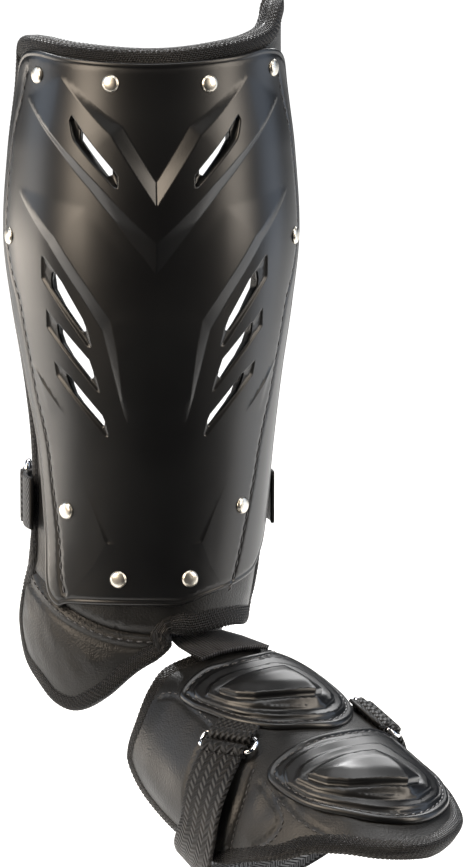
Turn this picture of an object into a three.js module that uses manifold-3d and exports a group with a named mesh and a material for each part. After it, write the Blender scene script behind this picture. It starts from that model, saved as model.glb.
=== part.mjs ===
// A batting leg guard: a moulded shin shell riveted to a padded liner, an ankle wing, and a foot guard
// with two moulded instep caps, hung from the liner by an elastic tongue.
// Millimetres, +Z up along the shin. The shin faces -Y. The origin is on the liner's inner face,
// at the middle of the shell, where the wearer's shin bears.
import * as THREE from 'three';
import Module from 'manifold-3d';
import { mergeVertices } from 'three/addons/utils/BufferGeometryUtils.js';

const wasm = await Module();
wasm.setup();

// Driving dimensions of the shin part
const SHELL_HEIGHT = 264;
const LEG_HALF_WIDTH = 70.6;
const LEG_DEPTH = 57.5;
const SHELL_THICKNESS = 2.6;
const PAD_THICKNESS = 8;
const BINDING_WIDTH = 9;
const BINDING_THICKNESS = 10.5;
const CHEVRON_RELIEF = 3.2;
const BODY_RELIEF = 1.6;
const RIVET_DIAMETER = 8.4;
const RIVET_HEIGHT = 1.8;

// Driving dimensions of the foot part
const FOOT_LENGTH = 165;
const FOOT_MEDIAL_WIDTH = 60;
const FOOT_LATERAL_WIDTH = 62;
const FOOT_ARCH = 46;
const FOOT_PAD_THICKNESS = 7;
const FOOT_BINDING_WIDTH = 8;
const FOOT_BINDING_THICKNESS = 9;
const FOOT_TURN = 33;
const FOOT_PITCH = 22;
const ANKLE_POINT = new THREE.Vector3(32.8, 31.7, -201.5);
const CAP_HEIGHT = 12;
const CAP_RIM_THICKNESS = 3;

// Driving dimensions of the webbing and hardware
const WEBBING_THICKNESS = 2;
const CALF_STRAP_WIDTH = 26;
const SOLE_STRAP_WIDTH = 28;
const SOLE_TAB_WIDTH = 22.4;
const RING_WIRE = 2.6;
const RING_DEPTH = 11;
const RING_SLACK = 2;
const TONGUE_THICKNESS = 2.5;
const CALF_STRAP_HEIGHT = -86;
const CALF_DEPTH = 52;
const SOLE_DEPTH = 42;
const SOLE_STRAP_SLACK = 1.5;

// Clearance between pieces that touch
const GAP = 0.3;
const WELD = 0.06;
const SHELL_SEAT = 0.6;
const CAP_SEAT = 0.9;
const CREASE_GAP = 1.4;
const WEBBING_CLEARANCE = 2.4;

// The wearer's leg, as the face that the liner's outside and the shell's inside share.
// height is a share of SHELL_HEIGHT above the origin, left and right of LEG_HALF_WIDTH, depth of LEG_DEPTH.
const LEG_SECTIONS = [
  { height: 0.600, left: 0.905, right: 0.905, depth: 0.930 },
  { height: 0.466, left: 0.911, right: 0.911, depth: 0.940 },
  { height: 0.333, left: 0.967, right: 0.967, depth: 0.975 },
  { height: 0.178, left: 1.000, right: 1.000, depth: 1.000 },
  { height: 0.045, left: 0.949, right: 0.949, depth: 0.985 },
  { height: -0.087, left: 0.877, right: 0.877, depth: 0.950 },
  { height: -0.220, left: 0.826, right: 0.819, depth: 0.890 },
  { height: -0.375, left: 0.830, right: 0.765, depth: 0.830 },
  { height: -0.464, left: 0.880, right: 0.725, depth: 0.800 },
  { height: -0.553, left: 0.914, right: 0.670, depth: 0.790 },
  { height: -0.640, left: 0.885, right: 0.640, depth: 0.790 },
  { height: -0.760, left: 0.800, right: 0.620, depth: 0.790 },
];

// The foot's upper side. along is a share of FOOT_LENGTH; medial, lateral and arch of the sizes named so.
const FOOT_SECTIONS = [
  { along: -0.10, medial: 0.90, lateral: 0.86, arch: 1.00 },
  { along: 0.10, medial: 0.98, lateral: 0.94, arch: 1.00 },
  { along: 0.30, medial: 1.00, lateral: 1.00, arch: 1.00 },
  { along: 0.50, medial: 0.97, lateral: 1.03, arch: 0.99 },
  { along: 0.70, medial: 0.92, lateral: 1.04, arch: 0.97 },
  { along: 0.85, medial: 0.86, lateral: 1.00, arch: 0.93 },
  { along: 1.05, medial: 0.78, lateral: 0.90, arch: 0.86 },
];

// Outlines are lists of [angle round the form in degrees, height as a share of SHELL_HEIGHT].
const SHELL_TOP = [[-74, 0.490], [-68, 0.508], [-58, 0.514], [-38, 0.503], [0, 0.494], [36, 0.505], [54, 0.518],
  [68, 0.510], [75, 0.495]];
const SHELL_LEFT = [[-46, -0.507], [-53, -0.485], [-58, -0.42], [-64, -0.33], [-70, -0.23], [-75, -0.15],
  [-78, -0.05], [-79, 0.1], [-79, 0.25], [-79, 0.38], [-77, 0.45], [-74, 0.490]];
const SHELL_BOTTOM = [[-46, -0.507], [-36, -0.502], [-20, -0.499], [0, -0.498], [20, -0.498], [36, -0.490],
  [50, -0.472], [62, -0.450], [71, -0.425]];
const SHELL_RIGHT = [[71, -0.425], [76, -0.39], [78, -0.30], [78, -0.2], [78, -0.05], [79, 0.1], [79, 0.25],
  [79, 0.38], [78, 0.45], [75, 0.495]];

const PAD_TOP = [[-90, 0.520], [-80, 0.538], [-60, 0.540], [-38, 0.531], [0, 0.522], [30, 0.533], [50, 0.546],
  [64, 0.562], [76, 0.598], [90, 0.612], [106, 0.612], [114, 0.590]];
const PAD_LEFT = [[-82, -0.44], [-86, -0.38], [-87, -0.25], [-88, -0.13], [-92, -0.08], [-95, -0.02], [-96, 0.15],
  [-96, 0.3], [-94, 0.45], [-90, 0.520]];
const PAD_RIGHT = [[84, -0.562], [92, -0.530], [97, -0.42], [99, -0.25], [103, -0.05], [108, 0.15], [112, 0.35],
  [115, 0.5], [114, 0.590]];
const CREASE = [[-82, -0.44], [-60, -0.478], [-42, -0.515], [-22, -0.545], [-4, -0.556], [8, -0.556]];
const PAD_HEM = [[8, -0.556], [20, -0.561], [38, -0.555], [56, -0.553], [72, -0.559], [84, -0.562]];
const ANKLE_LEFT = [[-68, -0.662], [-84, -0.62], [-91, -0.56], [-90, -0.49], [-82, -0.44]];
const ANKLE_BOTTOM = [[-68, -0.662], [-56, -0.695], [-42, -0.704], [-25, -0.672], [-8, -0.62], [10, -0.571]];
const ANKLE_RIGHT = [[10, -0.571], [8, -0.556]];

// The same for the foot part: [angle round the instep, place along it as a share of FOOT_LENGTH].
const FOOT_REAR = [[-90, 0.005], [-73, -0.01], [-54, -0.053], [-42, -0.073], [-25, -0.060], [0, -0.05],
  [30, -0.01], [60, 0.06]];
const FOOT_TOE = [[-61, 0.778], [-46, 0.859], [-33, 0.934], [-17, 0.985], [0, 1.000], [19, 0.955], [34, 0.88],
  [44, 0.78]];
const FOOT_MEDIAL = [[-90, 0.005], [-97, 0.016], [-108, 0.103], [-113, 0.22], [-113, 0.376], [-109, 0.497],
  [-92, 0.614], [-74, 0.728], [-61, 0.778]];
const FOOT_LATERAL = [[60, 0.06], [68, 0.2], [70, 0.4], [62, 0.6], [44, 0.78]];
const UPPER_CAP_TOP = [[-44, 0.070], [-26, 0.032], [-14, 0.043], [2, 0.040], [14, 0.025], [27, 0.06], [35, 0.11],
  [37, 0.20]];
const UPPER_CAP_BOTTOM = [[-44, 0.130], [-40, 0.20], [-34, 0.29], [-23, 0.38], [-13, 0.417], [5, 0.444],
  [24, 0.37]];
const LOWER_CAP_TOP = [[-44, 0.531], [-39, 0.500], [-28, 0.483], [-13, 0.475], [2, 0.472], [13, 0.463],
  [26, 0.452], [35, 0.47], [37, 0.53], [38, 0.61], [40, 0.68]];
const LOWER_CAP_BOTTOM = [[-44, 0.624], [-40, 0.71], [-30, 0.80], [-19, 0.87], [-7, 0.907], [5, 0.910],
  [18, 0.875], [30, 0.81]];

// The tongue's top, its places behind and below the hem, and its foot, as [angle round the form, height or
// place along it]
const TONGUE_TOP = [[12, -0.47], [46, -0.47], [82, -0.47]];
const TONGUE_MIDDLE = [[12, -0.572], [46, -0.566], [82, -0.576]];
const TONGUE_BELOW = [[15, -0.583], [48, -0.577], [85, -0.588]];
const TONGUE_FOOT = [[-24, 0.010], [-6, 0.015], [13, 0.022]];

// The sole strap's middle line once round the foot
const SOLE_STRAP_RUN = [
  { angle: -33, along: 0.310 }, { angle: -51, along: 0.372 }, { angle: -69, along: 0.418 },
  { angle: -94, along: 0.455 }, { angle: -130, along: 0.390 }, { angle: -180, along: 0.300 },
  { angle: -230, along: 0.270 }, { angle: -270, along: 0.300 }, { angle: -329, along: 0.362 },
];

// Through slots of the shell, for the wearer's left; the right ones mirror them. outer and inner are distances
// from the middle as shares of LEG_HALF_WIDTH, the others heights as shares of SHELL_HEIGHT.
const SLOTS = [
  { outer: 0.496, inner: 0.290, outer_top: 0.384, outer_foot: 0.362, inner_top: 0.317, inner_foot: 0.296 },
  { outer: 0.708, inner: 0.489, outer_top: 0.114, outer_foot: 0.086, inner_top: 0.034, inner_foot: 0.009 },
  { outer: 0.680, inner: 0.436, outer_top: 0.022, outer_foot: 0.000, inner_top: -0.060, inner_foot: -0.080 },
  { outer: 0.608, inner: 0.358, outer_top: -0.070, outer_foot: -0.090, inner_top: -0.142, inner_foot: -0.166 },
];

// Rivets. across is a share of LEG_HALF_WIDTH, height of SHELL_HEIGHT.
const RIVETS = [
  { across: -0.786, height: 0.472 }, { across: -0.297, height: 0.460 },
  { across: 0.358, height: 0.459 }, { across: 0.800, height: 0.483 },
  { across: -0.963, height: 0.175 }, { across: 0.962, height: 0.173 },
  { across: -0.590, height: -0.327 }, { across: 0.605, height: -0.321 },
  { across: -0.227, height: -0.450 }, { across: 0.225, height: -0.450 },
];

// Raised chevron and body ridge, as corner points of flat facets: [across, height, share of the relief].
const CHEVRON = {
  outer_tip: [-0.893, 0.427, 0], inner_tip: [-0.618, 0.459, 0], elbow: [-0.297, 0.360, 0.8],
  recess: [-0.216, 0.375, 0], recess_foot: [0, 0.272, 0], crest_top: [0, 0.227, 1],
  crest_foot: [0, 0.156, 1], foot: [0, 0.102, 0],
};
const CHEVRON_FACETS = [
  ['outer_tip', 'elbow', 'inner_tip'], ['outer_tip', 'crest_foot', 'elbow'], ['elbow', 'crest_foot', 'crest_top'],
  ['inner_tip', 'elbow', 'recess'], ['elbow', 'crest_top', 'recess'], ['recess', 'crest_top', 'recess_foot'],
  ['outer_tip', 'foot', 'crest_foot'],
];
const BODY_RIDGE = {
  start: [-0.93, 0.262, 0], corner: [-0.318, 0.014, 1], corner_foot: [-0.372, -0.004, 0],
  end: [-0.215, -0.176, 0], inside: [-0.17, 0.055, 0],
};
const BODY_RIDGE_FACETS = [
  ['start', 'corner_foot', 'corner'], ['corner', 'corner_foot', 'end'],
  ['start', 'corner', 'inside'], ['corner', 'end', 'inside'],
];

// Materials
const MATERIALS = {
  shell: new THREE.MeshStandardMaterial({ color: 0x16181a, roughness: 0.32, metalness: 0 }),
  leather: new THREE.MeshStandardMaterial({ color: 0x232322, roughness: 0.55, metalness: 0 }),
  binding: new THREE.MeshStandardMaterial({ color: 0x101112, roughness: 0.85, metalness: 0 }),
  webbing: new THREE.MeshStandardMaterial({ color: 0x0e1011, roughness: 0.9, metalness: 0 }),
  mesh_fabric: new THREE.MeshStandardMaterial({ color: 0x121314, roughness: 0.9, metalness: 0 }),
  nickel: new THREE.MeshStandardMaterial({ color: 0xd8d2c6, roughness: 0.25, metalness: 1 }),
};

const group = new THREE.Group();
const degrees = THREE.MathUtils.degToRad;

// Smooth value of one column of a table at a place along its key column
function column(rows, key, name, place) {
  const sorted = rows[0][key] < rows[rows.length - 1][key] ? rows : [...rows].reverse();
  const clamped = THREE.MathUtils.clamp(place, sorted[0][key], sorted[sorted.length - 1][key]);
  let i = 0;
  while (i < sorted.length - 2 && clamped > sorted[i + 1][key]) i += 1;
  const slope = (j) => {
    const before = sorted[Math.max(j - 1, 0)];
    const after = sorted[Math.min(j + 1, sorted.length - 1)];
    return (after[name] - before[name]) / (after[key] - before[key]);
  };
  const span = sorted[i + 1][key] - sorted[i][key];
  const t = (clamped - sorted[i][key]) / span;
  return (2 * t ** 3 - 3 * t ** 2 + 1) * sorted[i][name] + (t ** 3 - 2 * t ** 2 + t) * span * slope(i)
    + (-2 * t ** 3 + 3 * t ** 2) * sorted[i + 1][name] + (t ** 3 - t ** 2) * span * slope(i + 1);
}

// The leg's axis lies this far behind the origin, which is on the liner's inner face
const AXIS_Y = LEG_DEPTH * column(LEG_SECTIONS, 'height', 'depth', 0) - PAD_THICKNESS;

// Point on the leg form at an angle from the front, a height share and an offset outwards
function legPoint(angle, height, offset) {
  const side = angle < 0 ? 'left' : 'right';
  const width = LEG_HALF_WIDTH * column(LEG_SECTIONS, 'height', side, height) + offset;
  const depth = LEG_DEPTH * column(LEG_SECTIONS, 'height', 'depth', height) + offset;
  const turn = degrees(angle);
  return new THREE.Vector3(width * Math.sin(turn), AXIS_Y - depth * Math.cos(turn), height * SHELL_HEIGHT);
}

// The same form, by the distance from the middle as seen from the front
function frontPoint(across, height, offset) {
  const side = across < 0 ? 'left' : 'right';
  const width = column(LEG_SECTIONS, 'height', side, height) + SHELL_THICKNESS / LEG_HALF_WIDTH;
  return legPoint(THREE.MathUtils.radToDeg(Math.asin(across / width)), height, offset);
}

// The foot's own directions: forwards to the toes, sideways to the wearer's outer side, and up from the instep
const turn = degrees(FOOT_TURN);
const pitch = degrees(FOOT_PITCH);
const FORWARDS = new THREE.Vector3(
  Math.sin(turn) * Math.cos(pitch), -Math.cos(turn) * Math.cos(pitch), -Math.sin(pitch));
const SIDEWAYS = new THREE.Vector3(Math.cos(turn), Math.sin(turn), 0);
const UPWARDS = new THREE.Vector3().crossVectors(FORWARDS, SIDEWAYS);

// Point on the instep form at an angle from its crest, a share of its length and an offset outwards
function footPoint(angle, along, offset) {
  const width = angle < 0
    ? FOOT_MEDIAL_WIDTH * column(FOOT_SECTIONS, 'along', 'medial', along) + offset
    : FOOT_LATERAL_WIDTH * column(FOOT_SECTIONS, 'along', 'lateral', along) + offset;
  const arch = FOOT_ARCH * column(FOOT_SECTIONS, 'along', 'arch', along) + offset;
  return ANKLE_POINT.clone()
    .addScaledVector(FORWARDS, along * FOOT_LENGTH)
    .addScaledVector(SIDEWAYS, width * Math.sin(degrees(angle)))
    .addScaledVector(UPWARDS, arch * Math.cos(degrees(angle)));
}

// Manifold from a list of triangles given as corner points
function solidOf(triangles) {
  const geometry = new THREE.BufferGeometry().setFromPoints(triangles.flat());
  const merged = mergeVertices(geometry, 1e-4);
  const mesh = new wasm.Mesh({
    numProp: 3,
    vertProperties: new Float32Array(merged.attributes.position.array),
    triVerts: new Uint32Array(merged.index.array),
  });
  mesh.merge();
  const solid = new wasm.Manifold(mesh);
  if (solid.volume() > 0) return solid;
  return new wasm.Manifold(new wasm.Mesh({
    numProp: 3,
    vertProperties: mesh.vertProperties,
    triVerts: Uint32Array.from({ length: mesh.triVerts.length }, (unused, k) => mesh.triVerts[k - (k % 3) + 2 - (k % 3)]),
  }));
}

// Closed solid over a grid of cells; place(i, j, side) gives the corner on the inner (0) or outer (1) face
function gridSolid(columns, rows, place) {
  const triangles = [];
  const quad = (a, b, c, d) => triangles.push([a, b, c], [a, c, d]);
  for (let i = 0; i < columns; i += 1) {
    for (let j = 0; j < rows; j += 1) {
      quad(place(i, j, 1), place(i + 1, j, 1), place(i + 1, j + 1, 1), place(i, j + 1, 1));
      quad(place(i, j, 0), place(i, j + 1, 0), place(i + 1, j + 1, 0), place(i + 1, j, 0));
    }
    quad(place(i, 0, 0), place(i + 1, 0, 0), place(i + 1, 0, 1), place(i, 0, 1));
    quad(place(i, rows, 1), place(i + 1, rows, 1), place(i + 1, rows, 0), place(i, rows, 0));
  }
  for (let j = 0; j < rows; j += 1) {
    quad(place(0, j, 1), place(0, j + 1, 1), place(0, j + 1, 0), place(0, j, 0));
    quad(place(columns, j, 0), place(columns, j + 1, 0), place(columns, j + 1, 1), place(columns, j, 1));
  }
  return solidOf(triangles);
}

// Smooth run through an outline; one degree counts as one millimetre, a share as the form's length
function outline(points, length, closed) {
  const places = points.map(([angle, share]) => new THREE.Vector3(angle, share * length, 0));
  const curve = new THREE.CatmullRomCurve3(places, closed, 'centripetal');
  curve.arcLengthDivisions = 600;
  return (t) => {
    const place = curve.getPointAt(t);
    return [place.x, place.y / length];
  };
}

// Grid of places inside four outlines that meet at their ends
function patch(bottom, top, left, right, length) {
  const [low, high, first, last] = [bottom, top, left, right].map((points) => outline(points, length, false));
  const mix = (a, b, t) => [a[0] + (b[0] - a[0]) * t, a[1] + (b[1] - a[1]) * t];
  return (u, v) => {
    const along = mix(low(u), high(u), v);
    const across = mix(first(v), last(v), u);
    const corners = mix(mix(low(0), low(1), u), mix(high(0), high(1), u), v);
    return [along[0] + across[0] - corners[0], along[1] + across[1] - corners[1]];
  };
}

function patchSolid(form, place, columns, rows, inner, outer) {
  return gridSolid(columns, rows, (i, j, side) => {
    const [angle, share] = place(i / columns, j / rows);
    return form(angle, share, side === 1 ? outer(angle, share) : inner);
  });
}

// Strip along a run on a form. section lists [inwards, outwards from the form] corners round the strip.
function edgeStrip(form, run, closed, pieces, section) {
  const triangles = [];
  const count = closed ? pieces : pieces + 1;
  const rings = [];
  for (let i = 0; i < count; i += 1) {
    const t = i / pieces;
    const step = 0.002;
    const at = (value) => run(closed ? (value + 1) % 1 : THREE.MathUtils.clamp(value, 0, 1));
    const here = form(...at(t), 0);
    const along = form(...at(t + step), 0).sub(form(...at(t - step), 0)).normalize();
    const normal = form(...at(t), 1).sub(here).normalize();
    const inwards = new THREE.Vector3().crossVectors(along, normal).normalize();
    rings.push(section.map(([a, b]) => here.clone().addScaledVector(inwards, a).addScaledVector(normal, b)));
  }
  const size = section.length;
  for (let i = 0; i < pieces; i += 1) {
    const one = rings[i];
    const two = rings[(i + 1) % count];
    for (let k = 0; k < size; k += 1) {
      const next = (k + 1) % size;
      triangles.push([one[k], one[next], two[next]], [one[k], two[next], two[k]]);
    }
  }
  if (!closed) {
    for (let k = 1; k < size - 1; k += 1) {
      triangles.push([rings[0][0], rings[0][k + 1], rings[0][k]]);
      triangles.push([rings[count - 1][0], rings[count - 1][k], rings[count - 1][k + 1]]);
    }
  }
  return solidOf(triangles);
}

function toSolid(geometry) {
  const plain = geometry.index ? geometry.toNonIndexed() : geometry;
  const position = plain.attributes.position;
  const triangles = [];
  for (let k = 0; k < position.count; k += 3) {
    triangles.push([0, 1, 2].map((n) => new THREE.Vector3().fromBufferAttribute(position, k + n)));
  }
  return solidOf(triangles);
}

// The same solid with corners closer than WELD joined, so that no cut leaves a needle of a face
function welded(solid) {
  const mesh = solid.getMesh();
  const corners = Array.from({ length: mesh.vertProperties.length / 3 }, (unused, k) =>
    new THREE.Vector3().fromArray(mesh.vertProperties, 3 * k));
  const parent = corners.map((unused, k) => k);
  const root = (k) => {
    let top = k;
    while (parent[top] !== top) top = parent[top];
    return top;
  };
  for (let k = 0; k < mesh.triVerts.length; k += 1) {
    const a = root(mesh.triVerts[k]);
    const b = root(mesh.triVerts[k - (k % 3) + ((k + 1) % 3)]);
    if (a !== b && corners[a].distanceTo(corners[b]) < WELD) parent[Math.max(a, b)] = Math.min(a, b);
  }
  const triangles = [];
  for (let k = 0; k < mesh.triVerts.length; k += 3) {
    const [a, b, c] = [0, 1, 2].map((n) => root(mesh.triVerts[k + n]));
    if (a !== b && b !== c && c !== a) triangles.push([corners[a], corners[b], corners[c]]);
  }
  return solidOf(triangles);
}

function addPiece(name, solid, material) {
  const mesh = solid.getMesh();
  const geometry = new THREE.BufferGeometry();
  geometry.setAttribute('position', new THREE.BufferAttribute(Float32Array.from(mesh.vertProperties), 3));
  geometry.setIndex(new THREE.BufferAttribute(Uint32Array.from(mesh.triVerts), 1));
  geometry.computeVertexNormals();
  const piece = new THREE.Mesh(geometry, MATERIALS[material]);
  piece.name = name;
  group.add(piece);
}

// Relief of the shell: flat facets of the chevron and of the body ridge, each mirrored to the other side
function facetHeight(corners, names, across, height) {
  const [a, b, c] = names.map((name) => corners[name]);
  const area = (b[0] - a[0]) * (c[1] - a[1]) - (c[0] - a[0]) * (b[1] - a[1]);
  const u = ((across - a[0]) * (c[1] - a[1]) - (c[0] - a[0]) * (height - a[1])) / area;
  const v = ((b[0] - a[0]) * (height - a[1]) - (across - a[0]) * (b[1] - a[1])) / area;
  if (u < 0 || v < 0 || u + v > 1) return 0;
  return a[2] + (b[2] - a[2]) * u + (c[2] - a[2]) * v;
}

function relief(angle, height) {
  const side = angle < 0 ? 'left' : 'right';
  const across = -Math.abs(Math.sin(degrees(angle)) * column(LEG_SECTIONS, 'height', side, height));
  const chevron = CHEVRON_FACETS.map((names) => facetHeight(CHEVRON, names, across, height));
  const ridge = BODY_RIDGE_FACETS.map((names) => facetHeight(BODY_RIDGE, names, across, height));
  return CHEVRON_RELIEF * Math.max(...chevron) + BODY_RELIEF * Math.max(...ridge);
}

// Prism through the shell and the liner for one slot
function slotCut(slot, mirror, margin) {
  const x = (share) => mirror * share * LEG_HALF_WIDTH;
  const z = (share) => share * SHELL_HEIGHT;
  const shape = new THREE.Shape([
    new THREE.Vector2(x(slot.outer) + mirror * margin, z(slot.outer_top) + margin),
    new THREE.Vector2(x(slot.outer) + mirror * margin, z(slot.outer_foot)),
    new THREE.Vector2(x(slot.inner), z(slot.inner_foot) - margin),
    new THREE.Vector2(x(slot.inner) - mirror * margin, z(slot.inner_top)),
  ]);
  const prism = new THREE.ExtrudeGeometry(shape, { depth: AXIS_Y + 60, bevelEnabled: false });
  prism.rotateX(Math.PI / 2);
  prism.translate(0, AXIS_Y - 6, 0);
  return toSolid(prism);
}

const shellTop = SHELL_SEAT + SHELL_THICKNESS;
const shellPlace = patch(SHELL_BOTTOM, SHELL_TOP, SHELL_LEFT, SHELL_RIGHT, SHELL_HEIGHT);
let shell = patchSolid(legPoint, shellPlace, 23, 20, SHELL_SEAT, (angle, share) => shellTop + relief(angle, share));
const padPlace = patch([...CREASE, ...PAD_HEM.slice(1)], PAD_TOP, PAD_LEFT, PAD_RIGHT, SHELL_HEIGHT);
let pad = patchSolid(legPoint, padPlace, 19, 11, -PAD_THICKNESS, () => 0);
for (const slot of SLOTS) {
  for (const mirror of [-1, 1]) {
    shell = shell.subtract(slotCut(slot, mirror, 0));
    pad = pad.subtract(slotCut(slot, mirror, 1.2));
  }
}

// The ankle wing hangs from the liner at a crease
const anklePlace = patch(ANKLE_BOTTOM, CREASE, ANKLE_LEFT, ANKLE_RIGHT, SHELL_HEIGHT);
let ankle = patchSolid(legPoint, anklePlace, 10, 6, -PAD_THICKNESS, () => 0);

// One bound edge runs round the liner and the wing. The strip's section is rounded on its outer side.
function boundSection(width, thickness, middle, clearance) {
  const half = thickness / 2 + clearance;
  const round = Math.min(width, thickness) * 0.28;
  return [
    [width + clearance, middle - half], [round - clearance, middle - half], [-clearance, middle - half + round],
    [-clearance, middle + half - round], [round - clearance, middle + half], [width + clearance, middle + half],
  ];
}
const backwards = (points) => [...points].reverse();
const padLoop = [...PAD_TOP, ...backwards(PAD_RIGHT).slice(1), ...backwards(PAD_HEM).slice(1, -1),
  ...backwards(ANKLE_BOTTOM), ...ANKLE_LEFT.slice(1, -1), ...PAD_LEFT.slice(1, -1)];
const padRun = outline(padLoop, SHELL_HEIGHT, true);
const padSection = boundSection(BINDING_WIDTH, BINDING_THICKNESS, -PAD_THICKNESS / 2, 0);
const padCut = [[BINDING_WIDTH + GAP, -20], [-8, -20], [-8, 12], [BINDING_WIDTH + GAP, 12]];
const binding = edgeStrip(legPoint, padRun, true, 60, padSection);
const bindingCut = edgeStrip(legPoint, padRun, true, 60, padCut);
const grownBinding = edgeStrip(legPoint, padRun, true, 60,
  boundSection(BINDING_WIDTH, BINDING_THICKNESS, -PAD_THICKNESS / 2, GAP));
const creaseCut = edgeStrip(legPoint, outline(CREASE, SHELL_HEIGHT, false), false, 14, [
  [-CREASE_GAP / 2, -14], [CREASE_GAP / 2, -14], [CREASE_GAP / 2, 6], [-CREASE_GAP / 2, 6]]);
pad = pad.subtract(bindingCut).subtract(grownBinding).subtract(creaseCut);
ankle = ankle.subtract(bindingCut).subtract(grownBinding).subtract(creaseCut);

shell = shell.subtract(grownBinding);

// Rivets: domed caps on the shell
function rivetSolid({ across, height }) {
  const seat = frontPoint(across, height, 0);
  const side = across < 0 ? 'left' : 'right';
  const angle = THREE.MathUtils.radToDeg(Math.asin(
    across / (column(LEG_SECTIONS, 'height', side, height) + SHELL_THICKNESS / LEG_HALF_WIDTH)));
  const normal = legPoint(angle, height, 1).sub(seat).normalize();
  const turned = new THREE.Quaternion().setFromUnitVectors(new THREE.Vector3(0, 1, 0), normal);
  const base = shellTop + relief(angle, height) + 1.5 * GAP;
  const radius = RIVET_DIAMETER / 2;
  const profile = [[0, 0], [radius * 0.92, 0], [radius, RIVET_HEIGHT * 0.25], [radius * 0.82, RIVET_HEIGHT * 0.7],
    [radius * 0.45, RIVET_HEIGHT * 0.95], [0, RIVET_HEIGHT]].map(([x, y]) => new THREE.Vector2(x, y + base));
  const cap = new THREE.LatheGeometry(profile, 8);
  cap.deleteAttribute('normal');
  cap.deleteAttribute('uv');
  cap.applyQuaternion(turned);
  cap.translate(seat.x, seat.y, seat.z);
  return toSolid(cap);
}

// Foot part
const footPlace = patch(FOOT_REAR, FOOT_TOE, FOOT_MEDIAL, FOOT_LATERAL, FOOT_LENGTH);
let footPad = patchSolid(footPoint, footPlace, 18, 10, -FOOT_PAD_THICKNESS, () => 0);
const footLoop = [...FOOT_TOE, ...backwards(FOOT_LATERAL).slice(1), ...backwards(FOOT_REAR).slice(1),
  ...FOOT_MEDIAL.slice(1, -1)];
const footRun = outline(backwards(footLoop), FOOT_LENGTH, true);
const footSection = boundSection(FOOT_BINDING_WIDTH, FOOT_BINDING_THICKNESS, -FOOT_PAD_THICKNESS / 2, 0);
const footCut = [[FOOT_BINDING_WIDTH + GAP, -18], [-8, -18], [-8, 10], [FOOT_BINDING_WIDTH + GAP, 10]];
const footBinding = edgeStrip(footPoint, footRun, true, 44, footSection);
const grownFootBinding = edgeStrip(footPoint, footRun, true, 44,
  boundSection(FOOT_BINDING_WIDTH, FOOT_BINDING_THICKNESS, -FOOT_PAD_THICKNESS / 2, GAP));
footPad = footPad.subtract(edgeStrip(footPoint, footRun, true, 44, footCut)).subtract(grownFootBinding);

// An instep cap rises in two steps from its rim to a flat top
function capSolid(top, bottom) {
  const side = (n) => [bottom[n === 0 ? 0 : bottom.length - 1], top[n === 0 ? 0 : top.length - 1]];
  const place = patch(bottom, top, side(0), side(1), FOOT_LENGTH);
  const stops = [0, 0.09, 0.17, 0.26, 0.38, 0.5, 0.62, 0.74, 0.83, 0.91, 1];
  const rise = (d) => THREE.MathUtils.smoothstep(d, 0.1, 0.34);
  return gridSolid(stops.length - 1, stops.length - 1, (i, j, face) => {
    const [u, v] = [stops[i], stops[j]];
    const [angle, share] = place(u, v);
    const inside = rise(Math.min(u, 1 - u) * 1.2) * rise(Math.min(v, 1 - v) * 1.0);
    const height = face === 1 ? CAP_SEAT + CAP_RIM_THICKNESS + (CAP_HEIGHT - CAP_RIM_THICKNESS) * inside : CAP_SEAT;
    return footPoint(angle, share, height);
  });
}

// A round eye of webbing, a wire ring and a flat band
function eye(middle, axis, length, inner) {
  const outer = inner + WEBBING_THICKNESS;
  const profile = [[inner, -0.5], [outer, -0.5], [outer, 0.5], [inner, 0.5], [inner, -0.5]];
  const tube = new THREE.LatheGeometry(profile.map(([x, y]) => new THREE.Vector2(x, y * length)), 10);
  tube.deleteAttribute('normal');
  tube.deleteAttribute('uv');
  tube.applyQuaternion(new THREE.Quaternion().setFromUnitVectors(new THREE.Vector3(0, 1, 0), axis));
  tube.translate(middle.x, middle.y, middle.z);
  return toSolid(tube);
}

function ringSolid(middle, forwards, axis, depth, height) {
  const corner = RING_WIRE;
  const outward = new THREE.Vector3().crossVectors(forwards, axis);
  const path = [];
  for (const [x, y, from] of [[1, 1, 0], [-1, 1, 90], [-1, -1, 180], [1, -1, 270]]) {
    for (const angle of [0, 90]) {
      const radial = new THREE.Vector2(Math.cos(degrees(from + angle)), Math.sin(degrees(from + angle)));
      path.push({
        place: new THREE.Vector2(x * ((depth - RING_WIRE) / 2 - corner), y * ((height - RING_WIRE) / 2 - corner))
          .addScaledVector(radial, corner),
        radial,
      });
    }
  }
  const sides = 6;
  const triangles = [];
  const corners = path.map(({ place, radial }) => Array.from({ length: sides }, (unused, k) => {
    const around = degrees(360 * k / sides);
    const out = radial.clone().multiplyScalar(Math.cos(around) * RING_WIRE / 2).add(place);
    return middle.clone().addScaledVector(forwards, out.x).addScaledVector(axis, out.y)
      .addScaledVector(outward, Math.sin(around) * RING_WIRE / 2);
  }));
  corners.forEach((one, i) => {
    const two = corners[(i + 1) % corners.length];
    one.forEach((corner0, k) => {
      const next = (k + 1) % sides;
      triangles.push([corner0, one[next], two[next]], [corner0, two[next], two[k]]);
    });
  });
  return solidOf(triangles);
}

// Band through middle places, each with its outward and sideways direction, and its own width where it has one
function bandSolid(places, usual) {
  return gridSolid(places.length - 1, 1, (i, j, side) => {
    const { place, outward, sideways, width = usual } = places[i];
    return place.clone().addScaledVector(sideways, (j - 0.5) * width)
      .addScaledVector(outward, (side - 0.5) * WEBBING_THICKNESS);
  });
}

const EYE_RADIUS = RING_WIRE / 2 + GAP;
const EYE_MIDDLE = EYE_RADIUS + WEBBING_THICKNESS / 2;

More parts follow.
